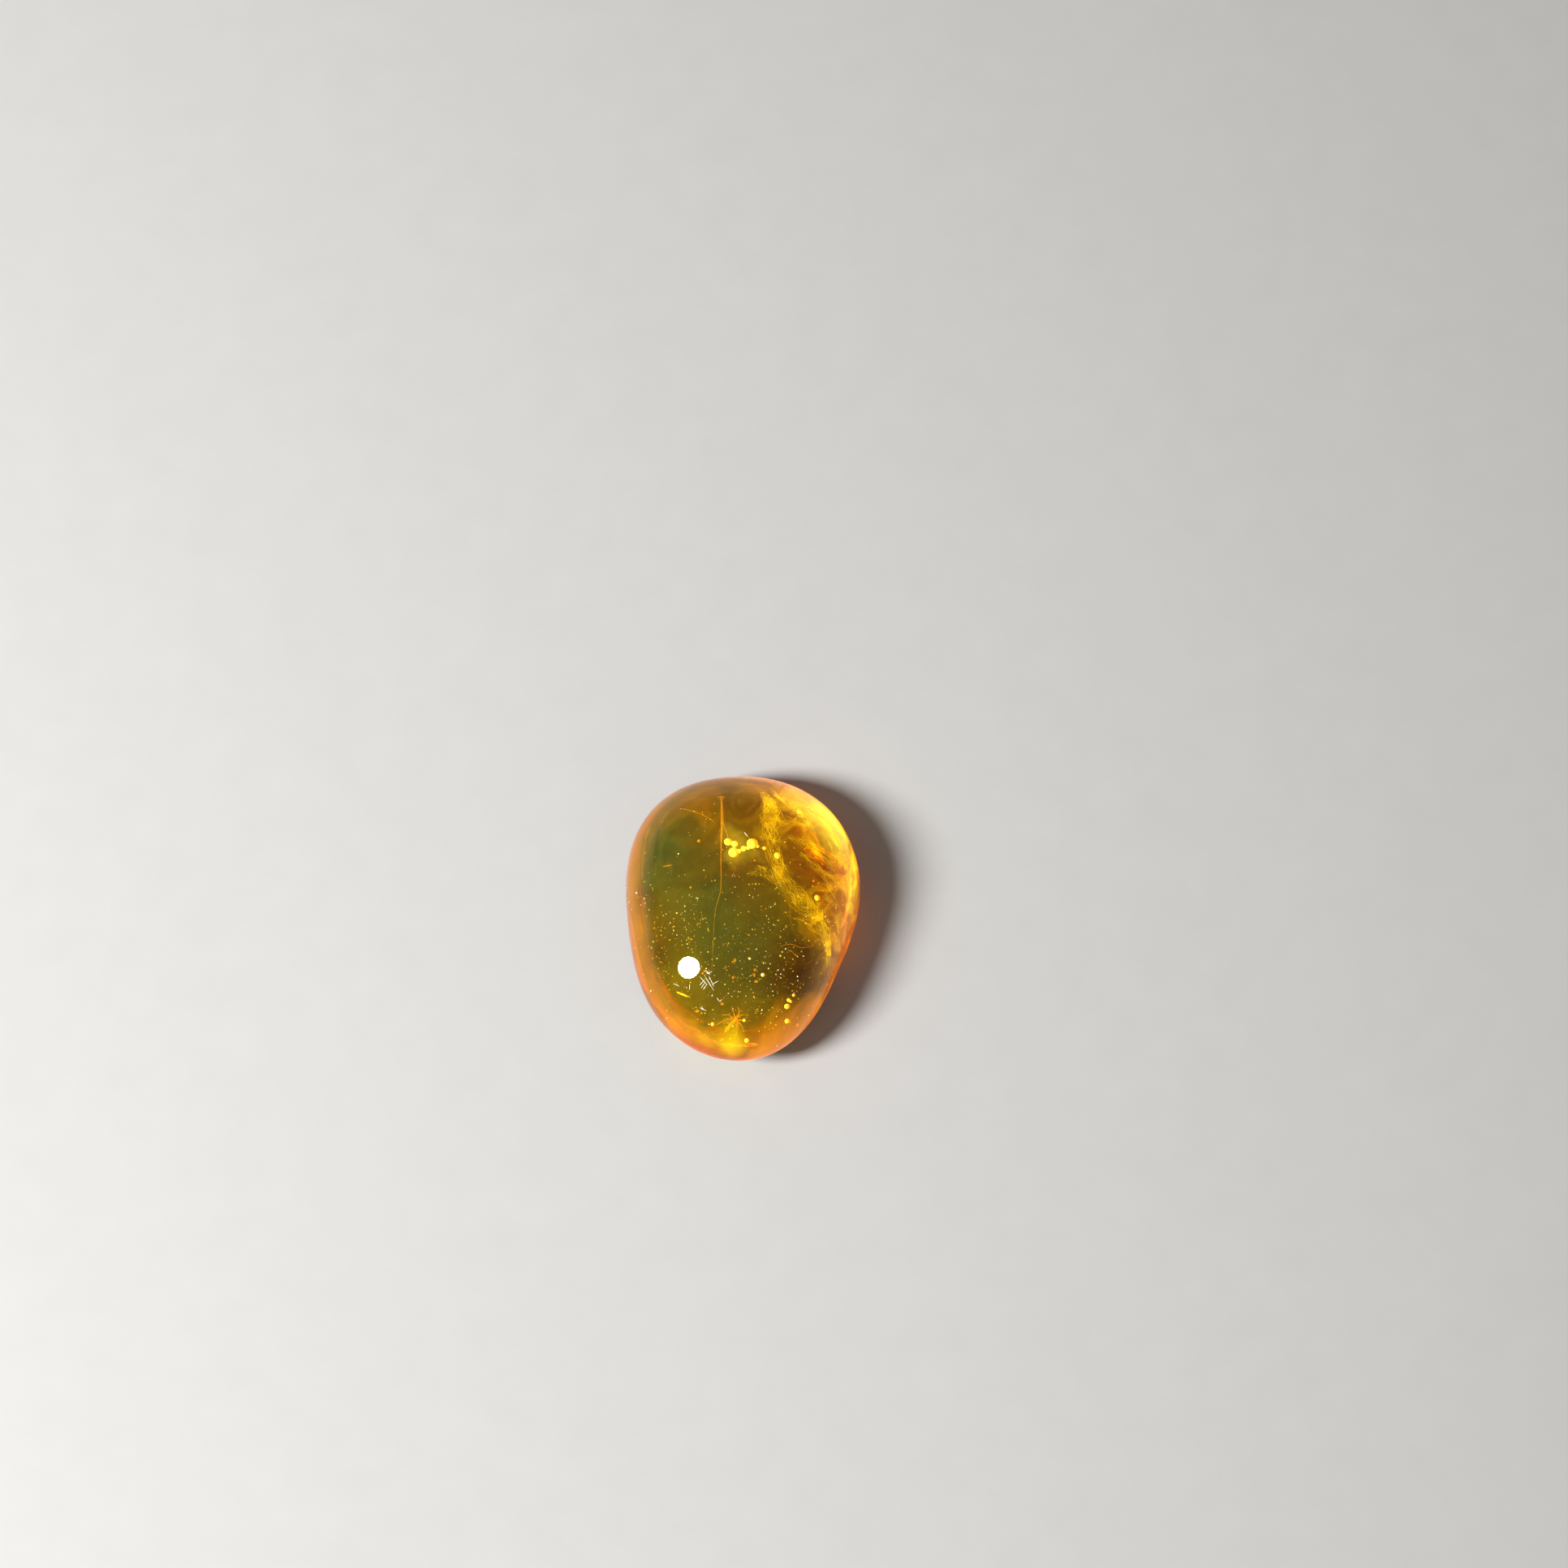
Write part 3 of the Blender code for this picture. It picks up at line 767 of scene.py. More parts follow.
# The skin glows orange on the side turned to the lamp: painted light and shade.
chitin = mottled_material("midge_skin", CHITIN_DARK, CHITIN_RED, 16000.0, 0.3, 1.4, Coat_Weight=0.5)
midge = add_piece("midge", midge_body(), chitin, MIDGE_PLACE)
add_piece("midge_veins", [wing_veins(1), wing_veins(-1)], chitin, MIDGE_PLACE)
membrane = mottled_material(
    "wing_membrane", (0.75, 0.42, 0.08), (0.5, 0.24, 0.04), 900.0, 0.25, 0.35, Alpha=0.4
)
add_piece("midge_wings", [wing_blade(1), wing_blade(-1)], membrane, MIDGE_PLACE)
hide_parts("insect")

# ------------ The plant hair
# A long straight hair of a plant, beaded like a string of cells, with a swelling near its upper
# end and two short arms at its tip. It hangs through the middle of the stone.

HAIR_HEIGHT = 5.0
HAIR_ROUTE = (
    (-1.8, 9.6), (-1.7, 7.5), (-1.74, 5.8), (-1.74, 3.9), (-1.68, 1.6), (-2.1, -0.6), (-2.4, -5.4),
)
HAIR_RADII = (0.05, 0.13, 0.075, 0.045, 0.032, 0.018, 0.01)
HAIR_SWELL = (0.78, 0.3, 46, 0.6)
HAIR_ARMS = (((-2.15, 9.44), (-1.8, 9.5), (-1.5, 9.53)), ((-1.98, 9.22), (-1.76, 9.3), (-1.55, 9.4)))


def level_line(route):
    """A route of x and y as places at one height."""
    return [(x, y, HAIR_HEIGHT) for x, y in route]


hair_parts = [tube(level_line(HAIR_ROUTE), HAIR_RADII, 460, 10, HAIR_SWELL)]
for arm in HAIR_ARMS:
    hair_parts.append(tube(level_line(arm), (0.02, 0.045, 0.02), 14, 8))
pale_plant = mottled_material("pale_plant", (0.8, 0.33, 0.03), (0.95, 0.55, 0.08), 3000.0, 0.4, 0.55)
hair = add_piece("plant_hair_beaded", hair_parts, pale_plant)
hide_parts("plant_hair")

# ------------ The fibre tuft
# A loose feathery skein of hair-fine plant fibres that drifts down the right side of the stone
# like a torn veil, each fibre curved on its own.

TUFT_ROUTE = ((1.6, 10.1), (2.2, 8.1), (2.1, 5.7), (2.7, 3.0), (4.2, 0.8), (5.9, -0.9), (6.9, -3.7))
TUFT_RADII = (0.4, 1.2, 1.1, 1.0, 1.3, 1.0, 0.3)
TUFT_FLATNESS = 0.45
TUFT_STRANDS = 24
TUFT_FIBRES = 440
TUFT_REACH = (0.05, 0.18)
TUFT_CLUMPS = (0.1, 0.24, 0.5, 0.78, 0.86)
TUFT_THICKNESS = 0.03
TUFT_SEED = 5


def skein(route, radii, flatness, strands, count, reach, thickness, rng, clumps, steps=14):
    """Fibres over fibre and step, gathered in strands that wander inside a tube round a route.

    A fibre covers a stretch of the route, most often near one of the clumps. Its place across the
    tube is its strand's place there plus a drift and a wave of its own, and it never leaves it.
    """
    marks = np.linspace(0.0, 1.0, 500)
    spine = thick_curve(route, radii, len(marks))
    length = rng.uniform(*reach, (count, 1))
    even = rng.uniform(0.0, 1.0, (count, 1))
    clumped = rng.choice(clumps, (count, 1)) + rng.normal(0.0, 0.07, (count, 1))
    middle = np.where(rng.uniform(0.0, 1.0, (count, 1)) < 0.3, even, clumped)
    start = np.clip(middle - length / 2, 0.0, 1 - length)
    start[: strands // 2] = 0.0
    start[-(strands // 2) :] = 1 - length[-(strands // 2) :]
    t = np.linspace(0.0, 1.0, steps)[None]
    where = start + length * t

    def read(values):
        """The values along the route, read at every step of every fibre."""
        return np.stack([np.interp(where, marks, column) for column in values.T], axis=-1)

    found = read(spine)
    along = read(unit(np.gradient(spine[:, :3], axis=0)))
    across = unit(np.cross(along, (0.0, 0.0, 1.0)))
    above = np.cross(across, along)

    strand = rng.integers(0, strands, (count, 1))
    turns, phases = rng.uniform(2, 9, (2, strands)), rng.uniform(0, 2 * np.pi, (2, strands))
    spread = rng.uniform(0.0, 0.6, strands)
    offsets = []
    for k in range(2):
        wander = spread[strand] * np.sin(turns[k][strand] * where + phases[k][strand])
        drift = rng.normal(0.0, 0.16, (count, 1)) + rng.normal(0.0, 0.6, (count, 1)) * (t - 0.5)
        wave = rng.uniform(0.03, 0.24, (count, 1)) * np.sin(
            rng.uniform(3, 11, (count, 1)) * t + rng.uniform(0, 6, (count, 1))
        )
        offsets.append(wander + drift + wave)
    out = np.hypot(*offsets)
    held = 0.95 * np.tanh(out / 0.95) / np.maximum(out, 1e-6) * found[..., 3]
    sideways, upward = offsets[0] * held, offsets[1] * held * flatness
    centres = found[..., :3] + across * sideways[..., None] + above * upward[..., None]
    thick = (0.25 + 0.75 * rng.uniform(0.0, 1.0, (count, 1)) ** 4) * thickness
    return centres, thick * np.sqrt(np.clip(1.05 - (2 * t - 1) ** 2, 0, 1))


gold_fibre = mottled_material("gold_fibre", (0.38, 0.22, 0.01), (1.0, 0.86, 0.08), 900.0, 0.5, 0.8)
tuft_route = level_line(TUFT_ROUTE)
tuft_rng = np.random.default_rng(TUFT_SEED)
tuft_lines = skein(
    tuft_route, TUFT_RADII, TUFT_FLATNESS, TUFT_STRANDS, TUFT_FIBRES,
    TUFT_REACH, TUFT_THICKNESS, tuft_rng, TUFT_CLUMPS,
)
tuft = add_piece("fibre_skein", [tubes(*tuft_lines, 3)], gold_fibre)
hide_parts("fibre_tuft")

HAZE_SHEETS = ((0.0, 0.2, 0.0), (0.1, 1.3, 0.14), (-0.12, -1.0, -0.12))
HAZE_STEPS, HAZE_WIDTH = 120, 25
HAZE_COVER = 0.75
HAZE_STRETCH = (16.0, 5.0, 1.0)
HAZE_WARP = (3.0, 2.6, 0.0)
HAZE_FINENESS = (0.8, 4.5, 1.0)
HAZE_DEEP = (0.55, 0.38, 0.01)
HAZE_PALE = (1.0, 0.95, 0.08)


def haze_sheet(route, radii, shift, twist, lift):
    """A sheet along a skein over length and width, as wide as the skein and turning as it goes."""
    spine = thick_curve(route, radii, HAZE_STEPS)
    across = np.cross(unit(np.gradient(spine[:, :3], axis=0)), (0.0, 0.0, 1.0))[:, None]
    middle, radius = spine[:, None, :3], spine[:, None, 3:]
    v = np.linspace(-1.0, 1.0, HAZE_WIDTH)[None, :, None]
    u = np.linspace(0.0, 1.0, HAZE_STEPS)[:, None, None]
    turn = twist * np.sin(np.pi * u * 2.0 + shift * 9.0)
    reach = radius * 0.92 * v
    wave = (lift + 0.05 * np.sin(14 * u + 3 * v)) * radius
    rise = reach * np.sin(turn) * TUFT_FLATNESS + wave
    points = middle + across * reach * np.cos(turn) + rise * np.array([0.0, 0.0, 1.0])
    return points.reshape(-1, 3)


def sheet_faces(rows, columns):
    """Faces of an open grid of rows and columns."""
    start = np.arange(rows - 1)[:, None] * columns + np.arange(columns - 1)
    corners = (start, start + 1, start + columns + 1, start + columns)
    return np.stack(corners, axis=2).reshape(-1, 4).tolist()


def haze_material():
    """Fibres too fine to count: a stretched pattern along the sheet's own length, mostly clear, that
    glows as painted light.
    """
    material, tree, shader, _ = new_material("fibre_haze", 0.6, Emission_Strength=0.75)
    grid = node(tree, "UVMap", uv_map="along").outputs["UV"]
    stretch = reckon(tree, "VectorMath", "MULTIPLY", grid, HAZE_STRETCH)
    warp = node(tree, "TexNoise", Vector=stretch, Scale=0.9, Detail=3.0).outputs["Color"]
    bent = reckon(tree, "VectorMath", "MULTIPLY_ADD", warp, HAZE_WARP, stretch)
    fine = reckon(tree, "VectorMath", "MULTIPLY", bent, HAZE_FINENESS)
    streak = node(tree, "TexNoise", Vector=fine, Scale=1.0, Detail=7.0, Roughness=0.7).outputs["Fac"]
    patch = node(tree, "TexNoise", Vector=stretch, Scale=0.35, Detail=2.0).outputs["Fac"]
    across = node(tree, "SeparateXYZ", Vector=grid).outputs["Y"]
    edge = reckon(tree, "Math", "PINGPONG", across, 0.5)
    cover = HAZE_COVER
    for value, levels in ((streak, (0.46, 0.72)), (patch, (0.35, 0.62)), (edge, (0.0, 0.32))):
        cover = reckon(tree, "Math", "MULTIPLY", step(tree, value, *levels), cover)
    colour = blend(tree, streak, HAZE_DEEP, HAZE_PALE)
    # The sheet glows in its own colour: painted light.
    fit(tree, shader, Base_Color=colour, Emission_Color=colour, Alpha=cover)
    return material


def add_grid_uv(piece, rows, columns, count):
    """UVs that run from nought to one along and across each of several grids in a piece."""
    u, v = np.meshgrid(np.linspace(0, 1, rows), np.linspace(0, 1, columns), indexing="ij")
    own = np.tile(np.stack([u.ravel(), v.ravel()], axis=1), (count, 1))
    own[:, 0] += np.repeat(np.arange(count) * 1.7, rows * columns)
    corner = np.empty(len(piece.data.loops), dtype=np.int32)
    piece.data.loops.foreach_get("vertex_index", corner)
    layer = piece.data.uv_layers.new(name="along")
    layer.data.foreach_set("uv", own[corner].astype(np.float32).ravel())


haze_look = haze_material()
grid_faces = sheet_faces(HAZE_STEPS, HAZE_WIDTH)
sheets = [(haze_sheet(tuft_route, TUFT_RADII, *values), grid_faces) for values in HAZE_SHEETS]
haze = add_piece("fibre_haze_sheets", sheets, haze_look)
add_grid_uv(haze, HAZE_STEPS, HAZE_WIDTH, len(HAZE_SHEETS))

# ------------ Stray threads
# Single threads and small wisps torn from the skein, astray in the bright right side of the
# stone, and a few near the left edge and the middle.

STRAYS = (
    ((2.0, 10.6, 5.2), (3.3, 9.6, 5.8), (4.6, 8.4, 6.2), (5.3, 7.0, 6.0)),
    ((3.1, 9.7, 4.8), (4.6, 9.0, 5.4), (5.9, 8.6, 5.6), (7.0, 7.4, 5.2)),
    ((4.4, 7.6, 6.2), (5.6, 6.9, 6.4), (6.5, 6.3, 6.0), (7.4, 5.0, 5.6)),
    ((3.6, 6.0, 6.4), (4.74, 5.37, 6.2), (6.08, 4.82, 6.0), (7.53, 3.26, 5.6)),
    ((4.4, 4.5, 6.2), (5.35, 4.05, 6.1), (6.69, 2.16, 6.0), (7.5, 0.6, 5.4)),
    ((5.6, 3.4, 5.8), (7.0, 2.8, 5.4), (8.0, 2.5, 5.0), (8.4, 1.2, 4.8)),
    ((6.2, 1.4, 5.6), (7.3, 0.4, 5.2), (7.66, -0.24, 5.0), (7.6, -1.8, 4.8)),
    ((2.3, 7.8, 5.0), (3.2, 7.3, 5.4), (4.0, 7.4, 5.6), (4.9, 7.9, 5.6)),
    ((0.9, 3.2, 5.8), (1.6, 2.9, 5.9), (2.3, 2.6, 5.9), (3.0, 2.0, 5.8)),
    ((0.3, 2.6, 6.0), (1.0, 2.8, 6.1), (1.7, 2.6, 6.0), (2.4, 2.0, 5.9)),
    ((5.0, -1.4, 5.2), (6.0, -2.0, 5.2), (6.6, -3.0, 5.1), (6.9, -4.6, 5.0)),
    ((6.6, 6.9, 4.6), (7.4, 5.6, 4.4), (8.1, 4.2, 4.4), (8.5, 2.6, 4.4)),
)
STRAY_RADII = (0.35, 0.7, 0.75, 0.4)
STRAY_FIBRES = 34
STRAY_FLATNESS = 0.8
STRAY_STRANDS = 4
STRAY_REACH = (0.15, 0.6)
STRAY_CLUMPS = (0.25, 0.7)
STRAY_THICKNESS = 0.026
STRAY_VEILS = (
    (0, 0.8), (1, -0.6), (2, 1.1), (3, 0.5), (4, -0.9), (5, 0.7), (6, 1.2), (10, 0.4), (11, -0.5),
)
VEIL_RADII = (0.5, 1.0, 1.1, 0.6)
STRAY_SEED = 23
SINGLE_RADIUS = 0.03
SINGLES = (
    ((3.6, -0.77, 6.0), (4.45, -0.98, 6.1), (5.27, -1.49, 6.0), (5.6, -2.3, 5.8)),
    ((2.62, -3.32, 6.0), (3.5, -3.1, 6.1), (4.4, -3.35, 6.1), (5.29, -3.18, 6.0)),
    ((3.23, -3.56, 6.0), (3.6, -3.7, 6.1), (3.9, -4.0, 6.0), (4.23, -4.2, 6.0)),
    ((0.2, 6.1, 6.1), (0.33, 5.9, 6.1), (0.45, 5.7, 6.1), (0.61, 5.44, 6.1)),
    ((-5.05, 8.62, 6.0), (-4.22, 8.28, 6.1), (-3.29, 7.83, 6.1), (-2.36, 7.18, 6.0)),
    ((-1.7, 7.4, 5.9), (-1.5, 6.6, 6.0), (-1.3, 6.0, 6.0), (-1.2, 5.4, 6.0)),
)


stray_rng = np.random.default_rng(STRAY_SEED)
stray_parts = []
for path in STRAYS:
    lines = skein(
        path, STRAY_RADII, STRAY_FLATNESS, STRAY_STRANDS, STRAY_FIBRES,
        STRAY_REACH, STRAY_THICKNESS, stray_rng, STRAY_CLUMPS,
    )
    stray_parts.append(tubes(*lines, 3))
add_piece("stray_wisps", stray_parts, gold_fibre)
veils = [
    (haze_sheet(STRAYS[index], VEIL_RADII, 0.3 * index, twist, 0.0), grid_faces)
    for index, twist in STRAY_VEILS
]
veil = add_piece("stray_haze_sheets", veils, haze_look)
add_grid_uv(veil, HAZE_STEPS, HAZE_WIDTH, len(veils))
single_lines = np.stack([curve_through(path, 40) for path in SINGLES])
single_waist = SINGLE_RADIUS * np.sin(np.linspace(0.05, np.pi - 0.05, 40))[None] ** 0.6
single_radii = np.repeat(single_waist, len(SINGLES), axis=0)
add_piece("single_threads", [tubes(single_lines, single_radii, 6)], pale_plant)

# ------------ Seed and bark slivers
# A small ribbed seed with a drop of gas at its end, and two splinters of bark, each a bundle of
# wood fibres that were torn off lengthwise.

SEED_MIDDLE = (-3.0, -9.45, 5.0)
SEED_HALF = 0.55
SEED_RADIUS = 0.2
SEED_HEADING = math.radians(2)
SEED_RIBS = 9
SLIVERS = (
    ("sliver_left", (-5.72, 3.76, 5.0), 0.4, 0.08, math.radians(4)),
    ("sliver_front", (-4.62, -6.98, 5.0), 0.5, 0.09, math.radians(-25)),
)
SLIVER_STRANDS = 7
BARK_RELIEF = 0.00002


def ribbed_seed():
    """The seed over length and angle: a spindle whose radius has ribs that fade at both ends."""
    along = np.linspace(0.0, np.pi, 30)[1:-1, None]
    turn = around(72)[None, :]
    radius = SEED_RADIUS * np.sin(along) ** 0.8 * (0.93 + 0.07 * np.cos(SEED_RIBS * turn))
    x = -np.cos(along) * SEED_HALF
    points = np.stack(np.broadcast_arrays(x, radius * np.sin(turn), radius * np.cos(turn)), axis=2)
    points = with_ends((-SEED_HALF, 0.0, 0.0), points, (SEED_HALF, 0.0, 0.0))
    turned = points @ np.array(Matrix.Rotation(-SEED_HEADING, 3, "Z"))
    return turned + SEED_MIDDLE, closed_faces(28, 72)


def sliver(middle, half, radius, heading, seed):
    """A bundle of strands side by side, each with its own ends, round a middle one that is longest."""
    rng = np.random.default_rng(seed)
    turn = around(SLIVER_STRANDS)[:, None]
    t = np.linspace(-1.0, 1.0, 18)[None]
    ends = np.concatenate([[1.0], rng.uniform(0.72, 0.97, SLIVER_STRANDS - 1)])[:, None]
    out = np.concatenate([[0.0], np.full(SLIVER_STRANDS - 1, 0.55)])[:, None] * radius * (1 - 0.5 * t**2)
    x = half * ends * t
    spread = np.stack(np.broadcast_arrays(x, out * np.cos(turn), out * np.sin(turn)), axis=2)
    spread = spread @ np.array(Matrix.Rotation(heading, 3, "Z")).T + middle
    radii = radius * 0.45 * (1.03 - t**2) ** 0.4 * rng.uniform(0.8, 1.0, (SLIVER_STRANDS, 1))
    return tubes(spread, radii, 7)


seed_coat = mottled_material(
    "seed_coat", (0.1, 0.022, 0.006), (0.28, 0.09, 0.015), 4000.0, 0.35, 0.5,
    BARK_RELIEF, Coat_Weight=0.4,
)
seed = add_piece("ribbed_seed", [ribbed_seed()], seed_coat)
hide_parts("seed")
bark = mottled_material("bark", (0.75, 0.2, 0.01), (1.0, 0.42, 0.03), 5000.0, 0.5, 0.7, BARK_RELIEF)
pale_bark = mottled_material(
    "pale_bark", (0.95, 0.55, 0.05), (1.0, 0.9, 0.3), 4000.0, 0.5, 1.2, BARK_RELIEF
)
for index, (name, middle, half, radius, heading) in enumerate(SLIVERS):
    look = (bark, pale_bark)[index]
    strands = sliver(middle, half, radius, heading, index)
    splinter = add_piece(name + "_strands", [strands], look)
    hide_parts(name)

# ------------ The gas bubbles
# Drops of gas given off while the resin set: one large ring-edged bubble with blobs beside it
# near the middle, and small ones round the midge.

BUBBLES = (
    (0.74, 5.23, 6.0, 0.46), (-0.77, 4.47, 6.0, 0.42), (-1.23, 5.37, 6.1, 0.33),
    (-0.7, 5.2, 6.0, 0.28), (0.05, 4.8, 5.9, 0.24), (-0.35, 4.58, 5.9, 0.2),
    (0.42, 4.86, 5.9, 0.17), (1.16, 5.0, 5.9, 0.14), (1.69, 4.84, 6.0, 0.16),
    (2.72, 4.2, 6.5, 0.27), (5.75, 1.01, 6.0, 0.24), (0.05, -9.32, 5.5, 0.13),
    (0.22, -10.59, 4.5, 0.18), (3.21, -9.01, 4.5, 0.2), (-2.38, -9.44, 5.0, 0.15),
    (3.31, -7.44, 5.0, 0.16), (3.21, -7.97, 5.0, 0.22), (3.68, -7.03, 5.0, 0.14),
    (3.5, -7.6, 5.1, 0.12), (4.59, 8.36, 6.0, 0.2), (0.54, -4.75, 7.5, 0.1),
    (1.62, -6.27, 8.0, 0.17),
)


GAS_COLOUR = (1.0, 0.86, 0.42)
GAS_DEEP = (0.45, 0.27, 0.01)
GAS_GOLD = (0.85, 0.58, 0.04)
SPOT_LIGHT = (2.6, 2.5, 1.6)
SPOT_TURN = (0.1, 0.78)
CRESCENT_LIGHT = (1.1, 0.8, 0.1)
CRESCENT_TURN = (-0.25, -0.8)


def gas_material():
    """The mirror-like skin of a gas drop with a painted glow: a painted hot spot towards the lamp and a
    painted crescent opposite it.
    """
    material, tree, shader, place = new_material("gas_skin", 0.12, Metallic=0.9, Base_Color=GAS_COLOUR)
    dapple = node(tree, "TexNoise", Vector=place, Scale=2500.0, Detail=3.0)
    # The dappled gold glow over the whole drop is painted light.
    skin = blend(tree, dapple.outputs["Fac"], GAS_DEEP, GAS_GOLD)
    turned = lamp_side(tree)
    glow = blend(tree, step(tree, turned, *SPOT_TURN), skin, SPOT_LIGHT)
    glow = blend(tree, step(tree, turned, *CRESCENT_TURN), glow, CRESCENT_LIGHT)
    fit(tree, shader, Emission_Color=glow, Emission_Strength=1.0)
    return material


bubble_parts = [ball((x, y, z), (r, r, 0.9 * r), 14, 24) for x, y, z, r in BUBBLES]
add_piece("gas_bubbles", bubble_parts, gas_material())

# ------------ The dust
# Grains of bark dust, pollen and tiny drops all through the resin, denser towards the narrow end,
# in three colours: gold, near white and orange.

DUST_SEED = 3
GRAIN_GRID = (3, 6)


def grains(places, sizes, rng):
    """Small lumps over row and column, for many places at once: stretched, uneven and turned."""
    lump, _ = ball((0, 0, 0), 1.0, *GRAIN_GRID)
    count = len(places)
    bumps = rng.uniform(0.7, 1.3, (count, len(lump), 1))
    shape = lump[None] * bumps * rng.uniform(0.6, 1.0, (count, 1, 3))
    turn = rng.normal(0.0, 1.0, (count, 3, 3))
    turn, _ = np.linalg.qr(turn)
    turn = turn * np.sign(np.linalg.det(turn))[:, None, None]
    points = places[:, None] + shape @ turn * sizes[:, None, None]
    return points, closed_faces(*GRAIN_GRID, count)


def places_inside(rng, count, narrow_end):
    """Random places well inside the pebble, crowded towards the narrow end if asked."""
    azimuth = rng.uniform(0.0, 2 * np.pi, 6 * count)
    share = np.sqrt(rng.uniform(0.0, 1.0, 6 * count)) * 0.84
    top = dome_point(azimuth, np.arccos(share))
    inner = np.clip((share - FACET_SHARE) / (1 - FACET_SHARE), 0.0, 1.0)
    drop = np.sqrt(np.clip(1 - inner**BASE_POWER, 0, 1)) ** (2 / BASE_POWER)
    low = base_point(azimuth, share, drop)
    level = rng.uniform(0.12, 0.9, 6 * count)[:, None]
    places = (low + (top - low) * level) / MM
    chance = 0.5 - 0.5 * np.tanh(places[:, 1] / 4.0) * narrow_end
    return places[rng.uniform(0.0, 1.0, 6 * count) < chance][:count]


def on_dome(places, depth):
    """Places of x and y put at a depth under the dome.

    The share of the outline that a place stands at is found by going back and forth between it and
    the middle that it is measured from.
    """
    turn = np.linspace(-np.pi, np.pi, 721)
    edge_x, edge_y = outline(turn)
    bearing = np.unwrap(np.arctan2(edge_y, edge_x))
    places = np.asarray(places, dtype=float)[:, :2]
    share = np.zeros(len(places))
    for _ in range(30):
        away = places * MM - np.array(SUMMIT) * (1 - share)[:, None]
        found = np.interp(np.arctan2(away[:, 1], away[:, 0]), bearing, turn, period=2 * np.pi)
        share = np.hypot(away[:, 0], away[:, 1]) / np.hypot(*outline(found))
    height = dome_point(found, np.arccos(np.clip(share, 0, 1)))[:, 2] / MM
    return np.column_stack([places, height - depth])


rng = np.random.default_rng(DUST_SEED)
ORANGE_GRAINS = (
    (-3.59, 5.44, 7.0), (-4.02, 1.68, 6.0), (0.43, -2.41, 6.0), (-0.8, -4.77, 6.5), (-0.62, -4.6, 6.4),
    (0.88, -5.15, 5.5), (0.8, -5.55, 5.5), (0.95, -6.1, 5.5), (-0.74, -5.91, 6.0), (-4.06, -2.99, 7.0),
    (2.74, 2.17, 6.0), (0.93, 3.78, 6.0), (4.47, -9.79, 5.0), (-1.01, -10.69, 5.0), (2.72, 4.35, 6.4),
    (-3.3, -5.4, 7.4), (-3.05, -5.75, 7.3), (-3.2, -5.95, 7.3), (-3.6, -8.6, 5.6),
    (-1.6, -8.0, 5.6),
)
WHITE_GRAINS = (
    (-5.27, 4.36, 7.5), (-5.32, -0.82, 7.5), (-5.52, -2.19, 7.0), (0.54, -4.75, 7.5), (1.62, -6.27, 8.0),
    (2.9, -4.4, 7.2), (2.0, -5.5, 7.2), (2.6, -6.0, 7.2), (3.0, -6.3, 7.2), (4.4, -6.4, 6.8),
)
CHAIN = ((0.48, 1.8, 6.0), (0.74, 1.81, 6.0), (0.99, 1.82, 6.0), (1.25, 1.83, 6.0), (1.51, 1.84, 6.0))
ARC = ((-5.15, 8.6, 6.1), (-4.95, 8.56, 6.1), (-4.0, 8.25, 6.1), (-3.3, 7.9, 6.1), (-2.65, 7.4, 6.1))
GRAIN_SIZES = (0.018, 0.085)
ORANGE_COUNT, GOLD_COUNT, WHITE_COUNT = 150, 420, 420
CLUSTERS, CLUSTER_GRAINS = 34, 9
CLUSTER_SPREAD = 0.32
WHITE_DEPTHS = (0.15, 1.2)


def add_dust(name, chosen, chosen_size, places, first, second, glow):
    """A piece of grains at some chosen places and at scattered ones, most of these very small."""
    spots = np.concatenate([np.asarray(chosen), places])
    small, large = GRAIN_SIZES
    random_sizes = small + (large - small) * rng.uniform(0.0, 1.0, len(places)) ** 3
    sizes = np.concatenate([chosen_size * rng.uniform(0.6, 1.1, len(chosen)), random_sizes])
    # The grains glow in their colour, brighter towards the lamp: painted glints.
    skin = mottled_material(name + "_skin", first, second, 8000.0, 0.5, glow)
    return add_piece(name, [grains(spots, sizes, rng)], skin)


bark_dust = places_inside(rng, ORANGE_COUNT, 0.8)
add_dust("dust_orange", ORANGE_GRAINS, 0.17, bark_dust, (0.75, 0.18, 0.01), (1.0, 0.5, 0.03), 0.9)
clusters = np.repeat(places_inside(rng, CLUSTERS, 1.0), CLUSTER_GRAINS, axis=0) * 0.93
clusters = clusters + rng.normal(0.0, CLUSTER_SPREAD, clusters.shape) * (1.0, 1.0, 0.3)
scattered = np.concatenate([places_inside(rng, GOLD_COUNT, 0.7), clusters])
add_dust("dust_gold", CHAIN + ARC, 0.08, scattered, (1.0, 0.6, 0.06), (1.0, 0.85, 0.3), 0.9)
shallow = places_inside(rng, WHITE_COUNT, 0.9)
shallow = on_dome(shallow, rng.uniform(*WHITE_DEPTHS, len(shallow)))
add_dust("dust_white", WHITE_GRAINS, 0.1, shallow, (1.0, 0.95, 0.85), (0.9, 0.8, 0.6), 1.3)

# ------------ The scratches
# Short scratches and tiny chips that the polishing left in the dome near its front left and along
# its lower edges; they glow white, a painted glint of the lamp.

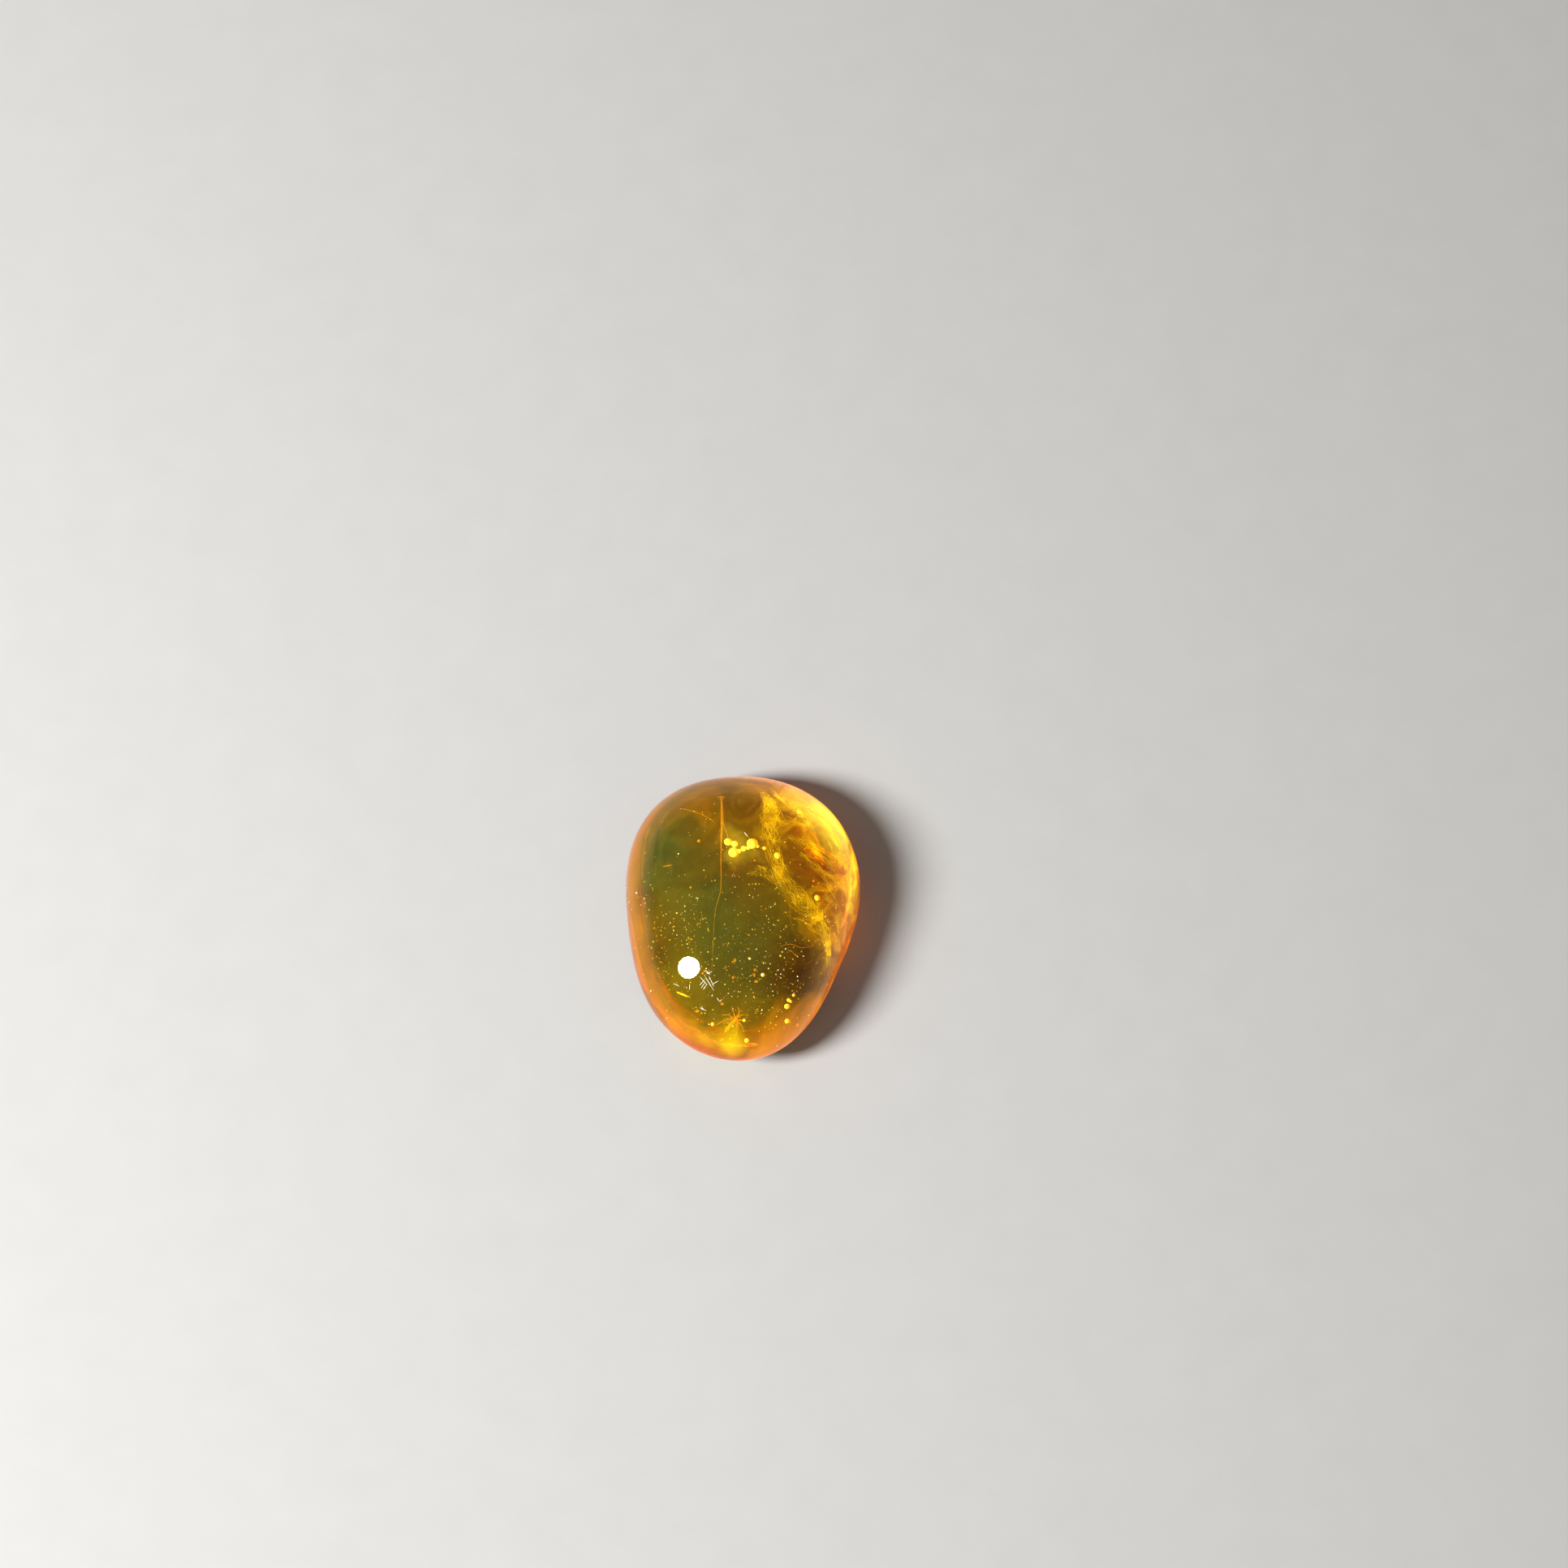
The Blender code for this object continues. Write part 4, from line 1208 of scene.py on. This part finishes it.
SCRATCHES = (
    (0.14, 5.99, 0.43, 5.5), (-3.69, -6.91, -2.99, -7.68), (-3.27, -6.87, -2.43, -8.16),
    (-2.9, -6.9, -2.45, -7.8), (-2.55, -7.6, -2.05, -7.35), (-3.7, -7.65, -3.3, -7.25),
    (-3.58, -7.88, -3.15, -7.38), (-3.36, -8.0, -3.05, -7.58), (-3.12, -6.6, -2.78, -6.8),
    (-3.2, -6.4, -2.85, -6.72), (-3.1, -6.75, -2.6, -6.55), (-4.55, -7.45, -4.57, -7.95),
    (-5.95, -7.25, -5.45, -7.55), (-2.2, -8.7, -1.95, -9.05), (-1.95, -9.05, -1.8, -8.85),
    (-3.7, -9.4, -3.1, -9.7), (-3.55, -9.3, -3.35, -9.6), (-8.02, -7.3, -7.9, -7.42),
    (-8.06, -7.46, -7.92, -7.36), (2.98, -11.9, 3.03, -12.0), (-6.62, -9.8, -6.52, -9.68),
)
SCRATCH_DEPTH = 0.012
SCRATCH_RADIUS = 0.018
PITS = (
    (0.59, -5.48, 0.085), (1.71, -6.79, 0.11), (3.74, -4.48, 0.075), (2.41, -5.87, 0.07),
    (3.11, -6.31, 0.055), (3.32, -6.62, 0.06), (4.76, -6.61, 0.07), (5.29, -4.85, 0.065),
    (1.71, -9.6, 0.06), (-0.32, -8.26, 0.055), (0.31, -8.58, 0.055), (-1.2, -8.39, 0.06),
    (-2.6, -8.53, 0.06), (-2.86, -10.72, 0.08), (-9.24, 1.29, 0.09), (-8.55, 0.55, 0.06),
    (-8.84, 0.06, 0.05), (-6.24, -2.08, 0.065), (-5.96, -2.83, 0.05), (-5.67, -3.22, 0.05),
    (-4.75, -4.1, 0.06), (-5.57, 4.11, 0.08), (-6.6, -1.23, 0.055), (0.66, -7.39, 0.045),
    (2.48, -7.56, 0.05), (-0.82, -9.61, 0.045), (-3.69, -6.37, 0.05), (-4.18, -5.93, 0.045),
)
PIT_FLATNESS = 0.3
SMALL_PITS = 110
SMALL_PIT_SIZES = (0.012, 0.034)


def scratches():
    """Scratches over line and step: straight in plan, following the dome, thin at their ends."""
    t = np.linspace(0.0, 1.0, 9)
    ends = np.asarray(SCRATCHES)
    plan = ends[:, None, :2] * (1 - t)[:, None] + ends[:, None, 2:] * t[:, None]
    lines = on_dome(plan.reshape(-1, 2), SCRATCH_DEPTH).reshape(len(ends), 9, 3)
    radii = SCRATCH_RADIUS * np.sin(np.pi * (0.08 + 0.84 * t)) * (1 + 0.35 * np.sin(31 * t))
    return tubes(lines, np.repeat(radii[None], len(ends), axis=0), 5)


def pits():
    """Flat white lumps that stand half out of the dome, at chosen places and scattered ones; their glow
    is a painted glint.
    """
    chosen = np.asarray(PITS)
    scattered = places_inside(rng, SMALL_PITS, 0.9)[:, :2]
    sizes = np.concatenate([chosen[:, 2], rng.uniform(*SMALL_PIT_SIZES, len(scattered))])
    plan = np.concatenate([chosen[:, :2], scattered])
    places = on_dome(plan, SCRATCH_DEPTH)
    points, faces = grains(places, sizes, rng)
    middle = places[:, None, 2]
    points[..., 2] = middle + (points[..., 2] - middle) * PIT_FLATNESS
    return points, faces


# Painted glint: the scratches and chips glow white.
scratch_glint = mottled_material("painted_scratch_glint", (1.0, 0.9, 0.72), (0.9, 0.76, 0.55), 9000.0, 0.6, 0.8)
add_piece("dome_scratches", [scratches(), pits()], scratch_glint)
